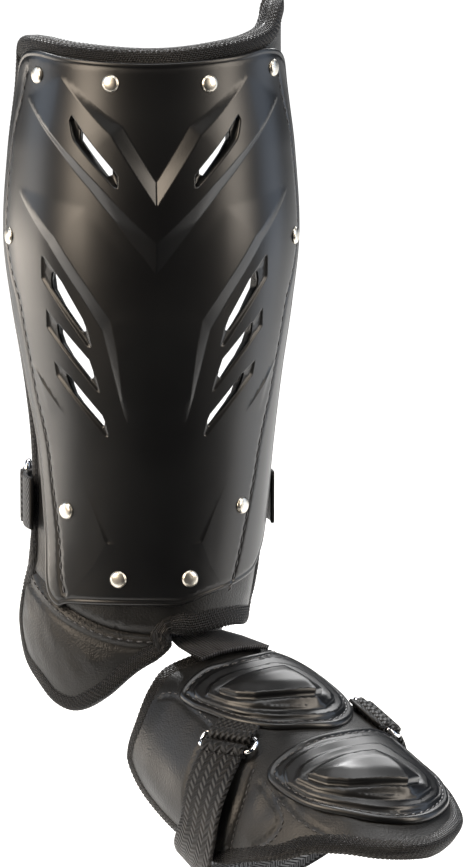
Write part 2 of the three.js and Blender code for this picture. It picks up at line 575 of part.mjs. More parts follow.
// Places of a band that lies on a form at a fixed offset, along a run of [angle, share]
function bandOnForm(form, run, offset, count) {
  return Array.from({ length: count + 1 }, (unused, i) => {
    const [angle, share] = run(i / count);
    const place = form(angle, share, offset);
    const outward = form(angle, share, offset + 1).sub(place).normalize();
    const ahead = form(...run(Math.min(i / count + 0.01, 1)), offset);
    const behind = form(...run(Math.max(i / count - 0.01, 0)), offset);
    const along = ahead.sub(behind).normalize();
    return { place, outward, sideways: new THREE.Vector3().crossVectors(along, outward).normalize(), along };
  });
}

// A short tab of webbing with an eye at its free end, and the ring in it
function tabAndRing(name, form, run, offset, width) {
  const places = bandOnForm(form, run, offset, 6);
  const end = places[places.length - 1];
  const hole = end.place.clone().addScaledVector(end.along, EYE_MIDDLE);
  const tab = bandSolid(places, width)
    .add(eye(hole, end.sideways, width, EYE_RADIUS));
  const cut = eyeHole(hole, end.sideways, width + 2);
  const span = RING_DEPTH - RING_WIRE;
  const ring = ringSolid(hole.clone().addScaledVector(end.along, span / 2), end.along, end.sideways,
    RING_DEPTH, width + 2 * RING_SLACK + 2 * RING_WIRE);
  addPiece(`${name}_tab`, tab.subtract(cut), 'webbing');
  addPiece(`${name}_ring`, ring, 'nickel');
  return { hole: hole.clone().addScaledVector(end.along, span), along: end.along, sideways: end.sideways, outward: end.outward };
}

function eyeHole(middle, axis, length) {
  const rod = new THREE.CylinderGeometry(EYE_RADIUS, EYE_RADIUS, length, 10);
  rod.deleteAttribute('normal');
  rod.deleteAttribute('uv');
  rod.applyQuaternion(new THREE.Quaternion().setFromUnitVectors(new THREE.Vector3(0, 1, 0), axis));
  rod.translate(middle.x, middle.y, middle.z);
  return toSolid(rod);
}

addPiece('shin_shell', welded(shell), 'shell');
RIVETS.forEach((rivet, n) => {
  addPiece(`shin_rivet_${String(n + 1).padStart(2, '0')}`, rivetSolid(rivet), 'nickel');
});
addPiece('shin_pad', welded(pad), 'leather');
addPiece('ankle_pad', welded(ankle), 'leather');
addPiece('shin_binding', binding, 'binding');
addPiece('foot_pad', welded(footPad), 'leather');
addPiece('foot_binding', footBinding, 'binding');
addPiece('instep_cap_upper', capSolid(UPPER_CAP_TOP, UPPER_CAP_BOTTOM), 'shell');
addPiece('instep_cap_lower', capSolid(LOWER_CAP_TOP, LOWER_CAP_BOTTOM), 'shell');

// The tongue hangs from behind the liner's hem and lies on the foot part's rear edge, up to the upper cap
const tongueFoot = outline(TONGUE_FOOT, FOOT_LENGTH, false);
const [tongueBelow, tongueMiddle, tongueTop] = [TONGUE_BELOW, TONGUE_MIDDLE, TONGUE_TOP]
  .map((points) => outline(points, SHELL_HEIGHT, false));
const belowHem = -TONGUE_THICKNESS / 2;
const behindHem = -(PAD_THICKNESS + BINDING_THICKNESS) / 2 - WEBBING_CLEARANCE;
const overFoot = (FOOT_BINDING_THICKNESS - FOOT_PAD_THICKNESS) / 2 + WEBBING_CLEARANCE;
addPiece('ankle_tongue', gridSolid(8, 6, (i, j, side) => {
  const inwards = (side - 1) * TONGUE_THICKNESS;
  const rows = [
    footPoint(...tongueFoot(i / 8), overFoot + side * TONGUE_THICKNESS),
    legPoint(...tongueBelow(i / 8), belowHem + inwards),
    legPoint(...tongueMiddle(i / 8), behindHem + inwards),
    legPoint(...tongueTop(i / 8), behindHem + inwards),
  ];
  const row = Math.min(Math.floor(j / 2), 2);
  return rows[row].lerp(rows[row + 1], j / 2 - row);
}), 'mesh_fabric');

// Calf strap: a tab and a ring on each side, and the strap round behind
const strapShare = CALF_STRAP_HEIGHT / SHELL_HEIGHT;
const onBinding = (BINDING_THICKNESS - PAD_THICKNESS) / 2 + WEBBING_CLEARANCE + WEBBING_THICKNESS / 2;
const calfLeft = tabAndRing('calf_left', legPoint, (t) => [-72 - 28 * t, strapShare], onBinding, CALF_STRAP_WIDTH);
const calfRight = tabAndRing('calf_right', legPoint, (t) => [86 + 24 * t, strapShare], onBinding, CALF_STRAP_WIDTH);
const calfStart = calfLeft.hole.clone().addScaledVector(calfLeft.along, EYE_MIDDLE);
const calfEnd = calfRight.hole.clone().addScaledVector(calfRight.along, EYE_MIDDLE);
const calfCurve = new THREE.CatmullRomCurve3([
  calfStart,
  calfStart.clone().addScaledVector(calfLeft.along, 0.3 * CALF_DEPTH),
  new THREE.Vector3(-0.45 * LEG_HALF_WIDTH, calfStart.y + 0.82 * CALF_DEPTH, CALF_STRAP_HEIGHT),
  new THREE.Vector3(0, calfStart.y + CALF_DEPTH, CALF_STRAP_HEIGHT),
  new THREE.Vector3(0.45 * LEG_HALF_WIDTH, calfStart.y + 0.82 * CALF_DEPTH, CALF_STRAP_HEIGHT),
  calfEnd.clone().addScaledVector(calfRight.along, 0.3 * CALF_DEPTH),
  calfEnd,
]);
const vertical = new THREE.Vector3(0, 0, 1);
const calfPlaces = Array.from({ length: 25 }, (unused, i) => {
  const along = calfCurve.getTangentAt(i / 24);
  return {
    place: calfCurve.getPointAt(i / 24),
    outward: new THREE.Vector3().crossVectors(vertical, along).normalize(),
    sideways: vertical,
  };
});
addPiece('calf_strap', bandSolid(calfPlaces, CALF_STRAP_WIDTH)
  .add(eye(calfLeft.hole, calfLeft.sideways, CALF_STRAP_WIDTH, EYE_RADIUS))
  .add(eye(calfRight.hole, calfRight.sideways, CALF_STRAP_WIDTH, EYE_RADIUS))
  .subtract(eyeHole(calfLeft.hole, calfLeft.sideways, CALF_STRAP_WIDTH + 2))
  .subtract(eyeHole(calfRight.hole, calfRight.sideways, CALF_STRAP_WIDTH + 2)), 'webbing');

// Sole strap: the same round the foot
function solePoint(angle, along, offset) {
  const sine = Math.sin(degrees(angle));
  const cosine = Math.cos(degrees(angle));
  const width = sine < 0
    ? FOOT_MEDIAL_WIDTH * column(FOOT_SECTIONS, 'along', 'medial', along)
    : FOOT_LATERAL_WIDTH * column(FOOT_SECTIONS, 'along', 'lateral', along);
  const height = cosine < 0 ? SOLE_DEPTH : FOOT_ARCH * column(FOOT_SECTIONS, 'along', 'arch', along);
  return ANKLE_POINT.clone()
    .addScaledVector(FORWARDS, along * FOOT_LENGTH)
    .addScaledVector(SIDEWAYS, (width + offset) * sine)
    .addScaledVector(UPWARDS, (height + offset) * cosine);
}
const onFootBinding = (FOOT_BINDING_THICKNESS - FOOT_PAD_THICKNESS) / 2 + WEBBING_CLEARANCE + WEBBING_THICKNESS / 2;
const strapAlong = (angle) => column(SOLE_STRAP_RUN, 'angle', 'along', angle);
const footLeft = tabAndRing('sole_left', solePoint, (t) => [-33 - 5 * t, strapAlong(-33 - 5 * t)], onFootBinding,
  SOLE_TAB_WIDTH);
const footRight = tabAndRing('sole_right', solePoint, (t) => [-329 + 5 * t, strapAlong(-329)], onFootBinding,
  SOLE_TAB_WIDTH);
const soleRun = (t) => {
  const angle = -60 - 243 * t;
  return [angle, strapAlong(angle)];
};
const solePlaces = bandOnForm(solePoint, soleRun, onFootBinding + SOLE_STRAP_SLACK, 28);
const starts = [footLeft, footRight].map((end) => ({
  place: end.hole.clone().addScaledVector(end.along, EYE_MIDDLE), outward: end.outward, sideways: end.sideways,
  width: SOLE_TAB_WIDTH,
}));
starts[1].sideways = starts[1].sideways.clone().negate();
addPiece('sole_strap', bandSolid([starts[0], ...solePlaces, starts[1]], SOLE_STRAP_WIDTH)
  .add(eye(footLeft.hole, footLeft.sideways, SOLE_TAB_WIDTH, EYE_RADIUS))
  .add(eye(footRight.hole, footRight.sideways, SOLE_TAB_WIDTH, EYE_RADIUS))
  .subtract(eyeHole(footLeft.hole, footLeft.sideways, SOLE_TAB_WIDTH + 2))
  .subtract(eyeHole(footRight.hole, footRight.sideways, SOLE_TAB_WIDTH + 2)), 'webbing');

export default group;
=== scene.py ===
"""A batting leg guard dressed for its photograph: moulded shells, bound leather pads, webbing and elastic."""

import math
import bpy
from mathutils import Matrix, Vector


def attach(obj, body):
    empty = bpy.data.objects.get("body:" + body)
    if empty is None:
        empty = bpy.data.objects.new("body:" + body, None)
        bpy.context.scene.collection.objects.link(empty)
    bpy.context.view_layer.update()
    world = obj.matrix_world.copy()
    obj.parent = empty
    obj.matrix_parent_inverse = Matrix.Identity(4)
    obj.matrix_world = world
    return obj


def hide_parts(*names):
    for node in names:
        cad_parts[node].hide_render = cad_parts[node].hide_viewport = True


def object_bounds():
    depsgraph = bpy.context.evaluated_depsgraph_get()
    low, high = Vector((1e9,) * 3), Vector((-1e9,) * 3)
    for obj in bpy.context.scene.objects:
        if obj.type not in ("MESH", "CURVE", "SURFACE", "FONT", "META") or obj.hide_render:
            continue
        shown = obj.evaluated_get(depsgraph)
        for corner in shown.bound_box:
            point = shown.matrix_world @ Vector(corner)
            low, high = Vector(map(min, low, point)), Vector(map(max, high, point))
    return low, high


bl_info = {
    "name": "Batting leg guard",
    "version": (1, 0, 0),
    "blender": (4, 5, 0),
    "location": "View3D > Sidebar > Leg Guard",
    "description": "Builds a batting leg guard with its foot guard, straps and studio",
    "category": "Object",
}

import bpy
import numpy as np
from mathutils import Vector, geometry

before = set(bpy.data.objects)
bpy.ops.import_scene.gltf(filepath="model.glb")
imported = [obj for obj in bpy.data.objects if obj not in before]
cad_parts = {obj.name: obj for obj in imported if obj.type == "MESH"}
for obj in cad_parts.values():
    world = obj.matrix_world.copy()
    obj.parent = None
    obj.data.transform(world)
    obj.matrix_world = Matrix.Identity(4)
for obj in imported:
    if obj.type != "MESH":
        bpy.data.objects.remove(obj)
CAD_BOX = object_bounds()
MM = 0.001

# Sizes of the forms in millimetres
SHELL_HEIGHT = 264.0
LEG_HALF_WIDTH = 70.6
LEG_DEPTH = 57.5
FOOT_LENGTH = 165.0
FOOT_MEDIAL_WIDTH = 60.0
FOOT_LATERAL_WIDTH = 62.0
FOOT_ARCH = 46.0
SOLE_DEPTH = 42.0
ANKLE_POINT = np.array((32.8, 31.7, -201.5))
FOOT_TURN = math.radians(33)
FOOT_PITCH = math.radians(22)

# The wearer's leg: height up the shell, half widths and depth, as shares of the sizes above
LEG_COLUMNS = ("height", "left", "right", "depth")
LEG_SECTIONS = (
    (-0.760, 0.800, 0.620, 0.790),
    (-0.640, 0.885, 0.640, 0.790),
    (-0.553, 0.914, 0.670, 0.790),
    (-0.464, 0.880, 0.725, 0.800),
    (-0.375, 0.830, 0.765, 0.830),
    (-0.220, 0.826, 0.819, 0.890),
    (-0.087, 0.877, 0.877, 0.950),
    (0.045, 0.949, 0.949, 0.985),
    (0.178, 1.000, 1.000, 1.000),
    (0.333, 0.967, 0.967, 0.975),
    (0.466, 0.911, 0.911, 0.940),
    (0.600, 0.905, 0.905, 0.930),
)
FOOT_COLUMNS = ("along", "medial", "lateral", "arch")
FOOT_SECTIONS = (
    (-0.10, 0.90, 0.86, 1.00),
    (0.10, 0.98, 0.94, 1.00),
    (0.30, 1.00, 1.00, 1.00),
    (0.50, 0.97, 1.03, 0.99),
    (0.70, 0.92, 1.04, 0.97),
    (0.85, 0.86, 1.00, 0.93),
    (1.05, 0.78, 0.90, 0.86),
)

# Outlines as (angle round the form in degrees, share of the shell's height or the foot's length)
SHELL_TOP = ((-74, 0.490), (-68, 0.510), (-58, 0.516), (-38, 0.505), (0, 0.497), (36, 0.508), (54, 0.519),
             (68, 0.513), (75, 0.495))
SHELL_LEFT = ((-46, -0.507), (-53, -0.485), (-58, -0.42), (-63, -0.33), (-68.5, -0.20), (-73, -0.12),
              (-77, -0.03), (-80, 0.1), (-80, 0.25), (-79, 0.38), (-77, 0.45), (-74, 0.490))
SHELL_BOTTOM = ((-46, -0.507), (-41, -0.502), (-20, -0.499), (0, -0.499), (14, -0.500), (26, -0.487),
                (40, -0.475), (53, -0.464), (64, -0.450), (71, -0.425))
SHELL_RIGHT = ((71, -0.425), (77, -0.39), (79, -0.30), (79, -0.2), (79, -0.05), (79, 0.1), (79, 0.25),
               (79, 0.38), (78, 0.45), (75, 0.495))
PAD_TOP = ((-90, 0.520), (-80, 0.538), (-60, 0.540), (-38, 0.531), (0, 0.522), (30, 0.533), (50, 0.546),
           (64, 0.562), (76, 0.598), (90, 0.612), (106, 0.612), (114, 0.590))
PAD_LEFT = ((-82, -0.44), (-86, -0.38), (-87, -0.25), (-88, -0.13), (-92, -0.08), (-95, -0.02), (-96, 0.15),
            (-96, 0.3), (-94, 0.45), (-90, 0.520))
PAD_RIGHT = ((84, -0.562), (92, -0.530), (97, -0.42), (99, -0.25), (103, -0.05), (108, 0.15), (112, 0.35),
             (115, 0.5), (114, 0.590))
CREASE = ((-82, -0.44), (-60, -0.478), (-42, -0.515), (-22, -0.545), (-4, -0.556), (8, -0.556))
PAD_HEM = ((8, -0.556), (20, -0.561), (38, -0.555), (56, -0.553), (72, -0.559), (84, -0.562))
ANKLE_LEFT = ((-68, -0.662), (-84, -0.62), (-91, -0.56), (-90, -0.49), (-82, -0.44))
ANKLE_BOTTOM = ((-68, -0.662), (-56, -0.695), (-42, -0.706), (-25, -0.678), (-8, -0.625), (10, -0.575))
ANKLE_RIGHT = ((10, -0.575), (8, -0.556))
FOOT_REAR = ((-90, 0.005), (-73, -0.01), (-54, -0.053), (-42, -0.073), (-25, -0.060), (0, -0.05),
             (30, -0.01), (60, 0.06))
FOOT_TOE = ((-61, 0.778), (-46, 0.859), (-33, 0.934), (-17, 0.985), (0, 1.000), (19, 0.955), (34, 0.88),
            (44, 0.78))
FOOT_MEDIAL = ((-90, 0.005), (-97, 0.016), (-108, 0.103), (-113, 0.22), (-113, 0.376), (-109, 0.497),
               (-92, 0.614), (-74, 0.728), (-61, 0.778))
FOOT_LATERAL = ((60, 0.06), (68, 0.2), (70, 0.4), (62, 0.6), (44, 0.78))
CAPS = {
    "instep_cap_upper": {
        "top": ((-44, 0.070), (-26, 0.032), (-14, 0.043), (2, 0.040), (14, 0.025), (27, 0.06), (35, 0.11),
                (37, 0.20)),
        "bottom": ((-44, 0.130), (-40, 0.20), (-34, 0.29), (-23, 0.38), (-13, 0.417), (5, 0.444), (24, 0.37)),
        "table": ((-30, 0.167), (-20, 0.160), (-10, 0.163), (3, 0.172), (9, 0.215), (12, 0.270), (10, 0.310),
                  (3, 0.340), (-5, 0.323), (-12, 0.303), (-20, 0.272), (-26, 0.228)),
        "peaks": ((-30, 0.167, -4.4), (3, 0.172, -2.4), (3, 0.340, 0.0), (12, 0.290, -4.2)),
    },
    "instep_cap_lower": {
        "top": ((-44, 0.531), (-39, 0.500), (-28, 0.483), (-13, 0.475), (2, 0.472), (13, 0.463), (26, 0.452),
                (35, 0.47), (37, 0.53), (38, 0.61), (40, 0.68)),
        "bottom": ((-44, 0.624), (-40, 0.71), (-30, 0.80), (-19, 0.87), (-7, 0.907), (5, 0.910), (18, 0.875),
                   (30, 0.81)),
        "table": ((-31, 0.624), (-22, 0.617), (-11, 0.618), (3, 0.632), (11, 0.675), (15, 0.730), (13, 0.775),
                  (3, 0.806), (-4, 0.787), (-13, 0.762), (-20, 0.733), (-27, 0.685)),
        "peaks": ((-31, 0.624, -4.4), (3, 0.632, -2.4), (3, 0.806, 0.0), (15, 0.750, -4.4)),
    },
}

# Relief of the shell on the wearer's left; the right mirrors it. Names to (angle, height, share of its relief).
CHEVRON = {
    "a0": (-62, 0.430, 0), "a1": (-42, 0.349, 0), "a2": (-26, 0.272, 0), "a3": (-15, 0.210, 0), "a4": (0, 0.116, 0),
    "b1": (-44, 0.373, 0.8), "b2": (-31, 0.322, 1), "b3": (-21, 0.277, 1), "b4": (0, 0.173, 1),
    "c0": (-42, 0.472, 0), "c1": (-17, 0.368, 1), "c2": (0, 0.239, 1.1),
    "i0": (-28, 0.434, 0), "i1": (-13, 0.383, 0), "i2": (-5, 0.322, 0), "i3": (0, 0.283, 0),
}
CHEVRON_FACETS = ("a0 a1 b1", "a1 a2 b2", "a1 b2 b1", "a2 a3 b3", "a2 b3 b2", "a3 a4 b4", "a3 b4 b3",
                  "a0 b1 c0", "b1 b2 c1", "b1 c1 c0", "b2 b3 c1", "b3 b4 c2", "b3 c2 c1",
                  "c0 c1 i1", "c0 i1 i0", "c1 i2 i1", "c1 c2 i3", "c1 i3 i2")
BODY = {
    "d0": (-63, 0.263, 0), "d1": (-44, 0.170, 0), "d2": (-30, 0.074, 0), "d3": (-22, 0.013, 0),
    "e0": (-59, 0.265, 0), "e1": (-40, 0.182, 0.8), "e2": (-27, 0.096, 1), "e3": (-18, 0.033, 1),
    "f1": (-20, -0.031, 0), "f2": (-16, -0.112, 0), "g1": (-16, -0.025, 1), "g2": (-14.5, -0.112, 0.5),
    "h": (-13, -0.158, 0), "x1": (-27, 0.235, 0), "x2": (-9, 0.130, 0), "x3": (0, 0.020, 0.75),
    "x4": (0, -0.16, 0), "x5": (0, 0.09, 0),
    "m0": (-36, -0.270, 0), "m1": (-30, -0.316, 0.04), "n0": (-23, -0.383, 0.16), "n1": (-17.5, -0.386, 0),
    "n2": (-21, -0.418, 0), "n3": (-29, -0.431, 0.04), "q0": (-42, -0.350, 0), "q1": (-41, -0.490, 0),
    "s0": (-63, -0.055, 0), "s1": (-56, -0.090, 0.35), "s2": (-44, -0.146, 0), "s3": (-54, -0.150, 0),
}
BODY_FACETS = ("d0 d1 e1", "d0 e1 e0", "d1 d2 e2", "d1 e2 e1", "d2 d3 e3", "d2 e3 e2", "d3 f1 g1", "d3 g1 e3",
               "f1 f2 g2", "f1 g2 g1", "f2 h g2", "e0 e1 x1", "e1 e2 x1", "e2 x2 x1", "e2 e3 x2", "e3 x3 x5",
               "e3 x5 x2", "e3 g1 x3", "g1 g2 x3", "g2 x4 x3", "g2 h x4",
               "m0 m1 q0", "m1 n3 q0", "m1 n0 n3", "n0 n1 n2", "n0 n2 n3", "n3 q1 q0", "s0 s1 s3", "s1 s2 s3")
SLOTS = (
    {"pocket": ((-34, 0.404), (-35, 0.393), (-33, 0.366), (-32, 0.357), (-15.5, 0.274), (-14, 0.273),
                (-14, 0.294), (-16, 0.308)),
     "hole": ((-30.5, 0.378), (-30.5, 0.361), (-18.5, 0.295), (-17, 0.298), (-17.2, 0.309), (-29.5, 0.376))},
    {"pocket": ((-47, 0.147), (-48, 0.144), (-49, 0.103), (-29, -0.018), (-27, -0.018), (-28.5, 0.016),
                (-30, 0.031), (-41, 0.114)),
     "hole": ((-43, 0.116), (-41.5, 0.114), (-39, 0.100), (-30.5, 0.033), (-29.5, 0.020), (-29.5, 0.012),
              (-31, 0.011), (-44, 0.087), (-44, 0.101))},
    {"pocket": ((-48, 0.049), (-49, 0.013), (-26, -0.100), (-24.5, -0.102), (-26, -0.074), (-28, -0.059),
                (-43, 0.023)),
     "hole": ((-43, 0.021), (-42, 0.020), (-29, -0.042), (-27.5, -0.063), (-27.5, -0.072), (-29, -0.077),
              (-42, -0.012), (-43, 0.003))},
    {"pocket": ((-47, -0.047), (-46.5, -0.075), (-23, -0.184), (-21.5, -0.183), (-23, -0.154), (-40, -0.070)),
     "hole": ((-41, -0.071), (-39.5, -0.073), (-24.5, -0.144), (-23.5, -0.154), (-24, -0.164), (-38, -0.104),
              (-40, -0.088))},
)
RIVETS = ((-56, 0.472), (-18.5, 0.460), (22.5, 0.459), (60, 0.483), (-71, 0.175), (70.5, 0.173), (-45, -0.327),
          (47, -0.321), (-16.5, -0.450), (17.5, -0.450))
SOLE_STRAP_COLUMNS = ("angle", "along")
SOLE_STRAP_RUN = ((-329, 0.362), (-270, 0.300), (-230, 0.270), (-180, 0.300), (-130, 0.390), (-94, 0.455),
                  (-69, 0.418), (-51, 0.372), (-33, 0.310))


def column(names, rows, name, place):
    """Smooth value of one column of a table at places along its first column."""
    table = np.array(rows, float)
    keys, values = table[:, 0], table[:, names.index(name)]
    place = np.clip(np.asarray(place, float), keys[0], keys[-1])
    i = np.clip(np.searchsorted(keys, place, side="right") - 1, 0, len(keys) - 2)
    before = np.maximum(np.arange(len(keys)) - 1, 0)
    after = np.minimum(np.arange(len(keys)) + 1, len(keys) - 1)
    slope = (values[after] - values[before]) / (keys[after] - keys[before])
    span = keys[i + 1] - keys[i]
    t = (place - keys[i]) / span
    return ((2 * t**3 - 3 * t**2 + 1) * values[i] + (t**3 - 2 * t**2 + t) * span * slope[i]
            + (-2 * t**3 + 3 * t**2) * values[i + 1] + (t**3 - t**2) * span * slope[i + 1])


PAD_THICKNESS = 8.0
AXIS_Y = LEG_DEPTH * float(column(LEG_COLUMNS, LEG_SECTIONS, "depth", 0.0)) - PAD_THICKNESS
FORWARDS = np.array((math.sin(FOOT_TURN) * math.cos(FOOT_PITCH), -math.cos(FOOT_TURN) * math.cos(FOOT_PITCH),
                     -math.sin(FOOT_PITCH)))
SIDEWAYS = np.array((math.cos(FOOT_TURN), math.sin(FOOT_TURN), 0.0))
UPWARDS = np.cross(FORWARDS, SIDEWAYS)


def leg_form(angle, share, offset):
    """Points on the leg's outside: angle from the front, share of the shell's height, offset outwards."""
    angle, share, offset = np.broadcast_arrays(*(np.asarray(v, float) for v in (angle, share, offset)))
    side = np.where(angle < 0, column(LEG_COLUMNS, LEG_SECTIONS, "left", share),
                    column(LEG_COLUMNS, LEG_SECTIONS, "right", share))
    width = LEG_HALF_WIDTH * side + offset
    depth = LEG_DEPTH * column(LEG_COLUMNS, LEG_SECTIONS, "depth", share) + offset
    turn = np.radians(angle)
    return np.stack((width * np.sin(turn), AXIS_Y - depth * np.cos(turn), share * SHELL_HEIGHT), -1)


def foot_form(angle, share, offset, underside=False):
    """Points on the instep's outside, or round the whole foot where underside is true."""
    angle, share, offset = np.broadcast_arrays(*(np.asarray(v, float) for v in (angle, share, offset)))
    turn = np.radians(angle)
    medial = FOOT_MEDIAL_WIDTH * column(FOOT_COLUMNS, FOOT_SECTIONS, "medial", share)
    lateral = FOOT_LATERAL_WIDTH * column(FOOT_COLUMNS, FOOT_SECTIONS, "lateral", share)
    width = np.where(np.sin(turn) < 0, medial, lateral) + offset
    arch = FOOT_ARCH * column(FOOT_COLUMNS, FOOT_SECTIONS, "arch", share)
    if underside:
        arch = np.where(np.cos(turn) < 0, SOLE_DEPTH, arch)
    height = arch + offset
    return (ANKLE_POINT + (share * FOOT_LENGTH)[..., None] * FORWARDS
            + (width * np.sin(turn))[..., None] * SIDEWAYS + (height * np.cos(turn))[..., None] * UPWARDS)


def round_form(angle, share, offset):
    """The whole round of the foot, for the sole strap."""
    return foot_form(angle, share, offset, underside=True)


class Form:
    """A form with the size of one degree and of one share on its surface, in millimetres."""

    def __init__(self, place, degree, length):
        self.place, self.degree, self.length = place, degree, length

    def flat(self, points):
        points = np.asarray(points, float)
        return points * np.array((self.degree, self.length))

    def at(self, flat, offset):
        flat = np.asarray(flat, float)
        return self.place(flat[..., 0] / self.degree, flat[..., 1] / self.length, offset)


LEG = Form(leg_form, 1.2, SHELL_HEIGHT)
FOOT = Form(foot_form, 1.0, FOOT_LENGTH)
ROUND_FOOT = Form(round_form, 1.0, FOOT_LENGTH)


def smooth_line(points, closed, parts):
    """Centripetal Catmull-Rom line through points, with that many parts between each two."""
    points = np.asarray(points, float)
    if closed:
        ring = np.vstack((points[-1], points, points[0], points[1]))
    else:
        ring = np.vstack((2 * points[0] - points[1], points, 2 * points[-1] - points[-2]))
    dense = []
    for p0, p1, p2, p3 in zip(ring, ring[1:], ring[2:], ring[3:]):
        t0 = 0.0
        t1 = t0 + max(np.linalg.norm(p1 - p0), 1e-6) ** 0.5
        t2 = t1 + max(np.linalg.norm(p2 - p1), 1e-6) ** 0.5
        t3 = t2 + max(np.linalg.norm(p3 - p2), 1e-6) ** 0.5
        t = np.linspace(t1, t2, parts, endpoint=False)[:, None]
        a1 = (t1 - t) / (t1 - t0) * p0 + (t - t0) / (t1 - t0) * p1
        a2 = (t2 - t) / (t2 - t1) * p1 + (t - t1) / (t2 - t1) * p2
        a3 = (t3 - t) / (t3 - t2) * p2 + (t - t2) / (t3 - t2) * p3
        b1 = (t2 - t) / (t2 - t0) * a1 + (t - t0) / (t2 - t0) * a2
        b2 = (t3 - t) / (t3 - t1) * a2 + (t - t1) / (t3 - t1) * a3
        dense.append((t2 - t) / (t2 - t1) * b1 + (t - t1) / (t2 - t1) * b2)
    dense.append((points[0] if closed else points[-1])[None])
    return np.vstack(dense)


def lengths_along(line):
    """How far along a line each of its points lies."""
    return np.concatenate(([0], np.cumsum(np.linalg.norm(np.diff(line, axis=0), axis=1))))


def spaced(line, count, closed=False):
    """That many places at an even spacing along a line; a closed one doesn't repeat its start."""
    lengths = lengths_along(line)
    places = np.linspace(0, lengths[-1], count, endpoint=not closed)
    return np.stack([np.interp(places, lengths, line[:, k]) for k in range(line.shape[1])], -1)


def evenly(line, closed, step):
    """The same line with about that step between its places."""
    return spaced(line, max(int(round(lengths_along(line)[-1] / step)), 3), closed)


def smooth_run(points, closed, step):
    """A smooth run through flat points with about that step."""
    return evenly(smooth_line(points, closed, 24), closed, step)


def corner_run(points, closed, step):
    """A line that keeps its corners, at about an even spacing."""
    points = np.asarray(points, float)
    ends = np.vstack((points, points[:1])) if closed else points
    parts = []
    for a, b in zip(ends, ends[1:]):
        count = max(int(round(np.linalg.norm(b - a) / step)), 1)
        parts.append(a + (b - a) * np.linspace(0, 1, count, endpoint=False)[:, None])
    if not closed:
        parts.append(ends[-1:])
    return np.vstack(parts)


def beside(line, distance, closed):
    """The line moved sideways; to the left of its run where distance is positive."""
    if closed:
        tangent = np.roll(line, -1, 0) - np.roll(line, 1, 0)
    else:
        tangent = np.gradient(line, axis=0)
    tangent /= np.maximum(np.linalg.norm(tangent, axis=1, keepdims=True), 1e-9)
    return line + distance * np.stack((-tangent[:, 1], tangent[:, 0]), -1)


def winding(run):
    """1 where a closed line runs anticlockwise, else -1."""
    after = np.roll(run, -1, 0)
    return 1 if np.sum(run[:, 0] * after[:, 1] - run[:, 1] * after[:, 0]) > 0 else -1


def inside(polygon, points):
    """Which points lie inside a polygon."""
    x, y = points[:, 0], points[:, 1]
    found = np.zeros(len(points), bool)
    for (x1, y1), (x2, y2) in zip(polygon, np.roll(polygon, -1, 0)):
        if y1 == y2:
            continue
        crosses = ((y1 > y) != (y2 > y)) & (x < (x2 - x1) * (y - y1) / (y2 - y1) + x1)
        found ^= crosses
    return found


def away(line, points, closed=True):
    """Distance of each point from a line."""
    starts = line if closed else line[:-1]
    ends = np.roll(line, -1, 0) if closed else line[1:]
    best = np.full(len(points), 1e9)
    for a, b in zip(starts, ends):
        run = b - a
        t = np.clip(((points - a) @ run) / max(run @ run, 1e-9), 0, 1)
        best = np.minimum(best, np.hypot(*(points - a - t[:, None] * run).T))
    return best


def smoothstep(value):
    value = np.clip(value, 0, 1)
    return value * value * (3 - 2 * value)


def facet_heights(table, facets, points):
    """Height over flat points of facets whose corners are named in a table; both sides of the middle."""
    spots = np.column_stack((-np.abs(points[:, 0]), points[:, 1]))
    height = np.zeros(len(points))
    for facet in facets:
        corners = [table[name] for name in facet.split()]
        flat = LEG.flat([c[:2] for c in corners])
        (ax, ay), (bx, by), (cx, cy) = flat
        area = (bx - ax) * (cy - ay) - (cx - ax) * (by - ay)
        u = ((spots[:, 0] - ax) * (cy - ay) - (cx - ax) * (spots[:, 1] - ay)) / area
        v = ((bx - ax) * (spots[:, 1] - ay) - (spots[:, 0] - ax) * (by - ay)) / area
        within = (u >= -1e-6) & (v >= -1e-6) & (u + v <= 1 + 1e-6)
        here = corners[0][2] + (corners[1][2] - corners[0][2]) * u + (corners[2][2] - corners[0][2]) * v
        height = np.where(within, np.maximum(height, here), height)
    return height


def make_object(name, vertices, faces, material, uv=None):
    """A mesh object from points in millimetres; uv holds one pair a vertex, in millimetres."""
    mesh = bpy.data.meshes.new(name)
    mesh.from_pydata((np.asarray(vertices) * MM).tolist(), [], [list(map(int, face)) for face in faces])
    mesh.validate()
    if uv is not None:
        layer = mesh.uv_layers.new(name="surface_mm")
        loops = np.empty(len(mesh.loops), int)
        mesh.loops.foreach_get("vertex_index", loops)
        layer.data.foreach_set("uv", (np.asarray(uv)[loops]).ravel())
    mesh.polygons.foreach_set("use_smooth", np.ones(len(mesh.polygons), bool))
    mesh.materials.append(material)
    obj = bpy.data.objects.new(name, mesh)
    bpy.context.scene.collection.objects.link(obj)
    return obj


def dress(obj, slot, *nodes):
    """Rides the piece with the object and hides the solids it stands for; slot is not used."""
    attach(obj, "root")
    if nodes:
        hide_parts(*nodes)
    return obj


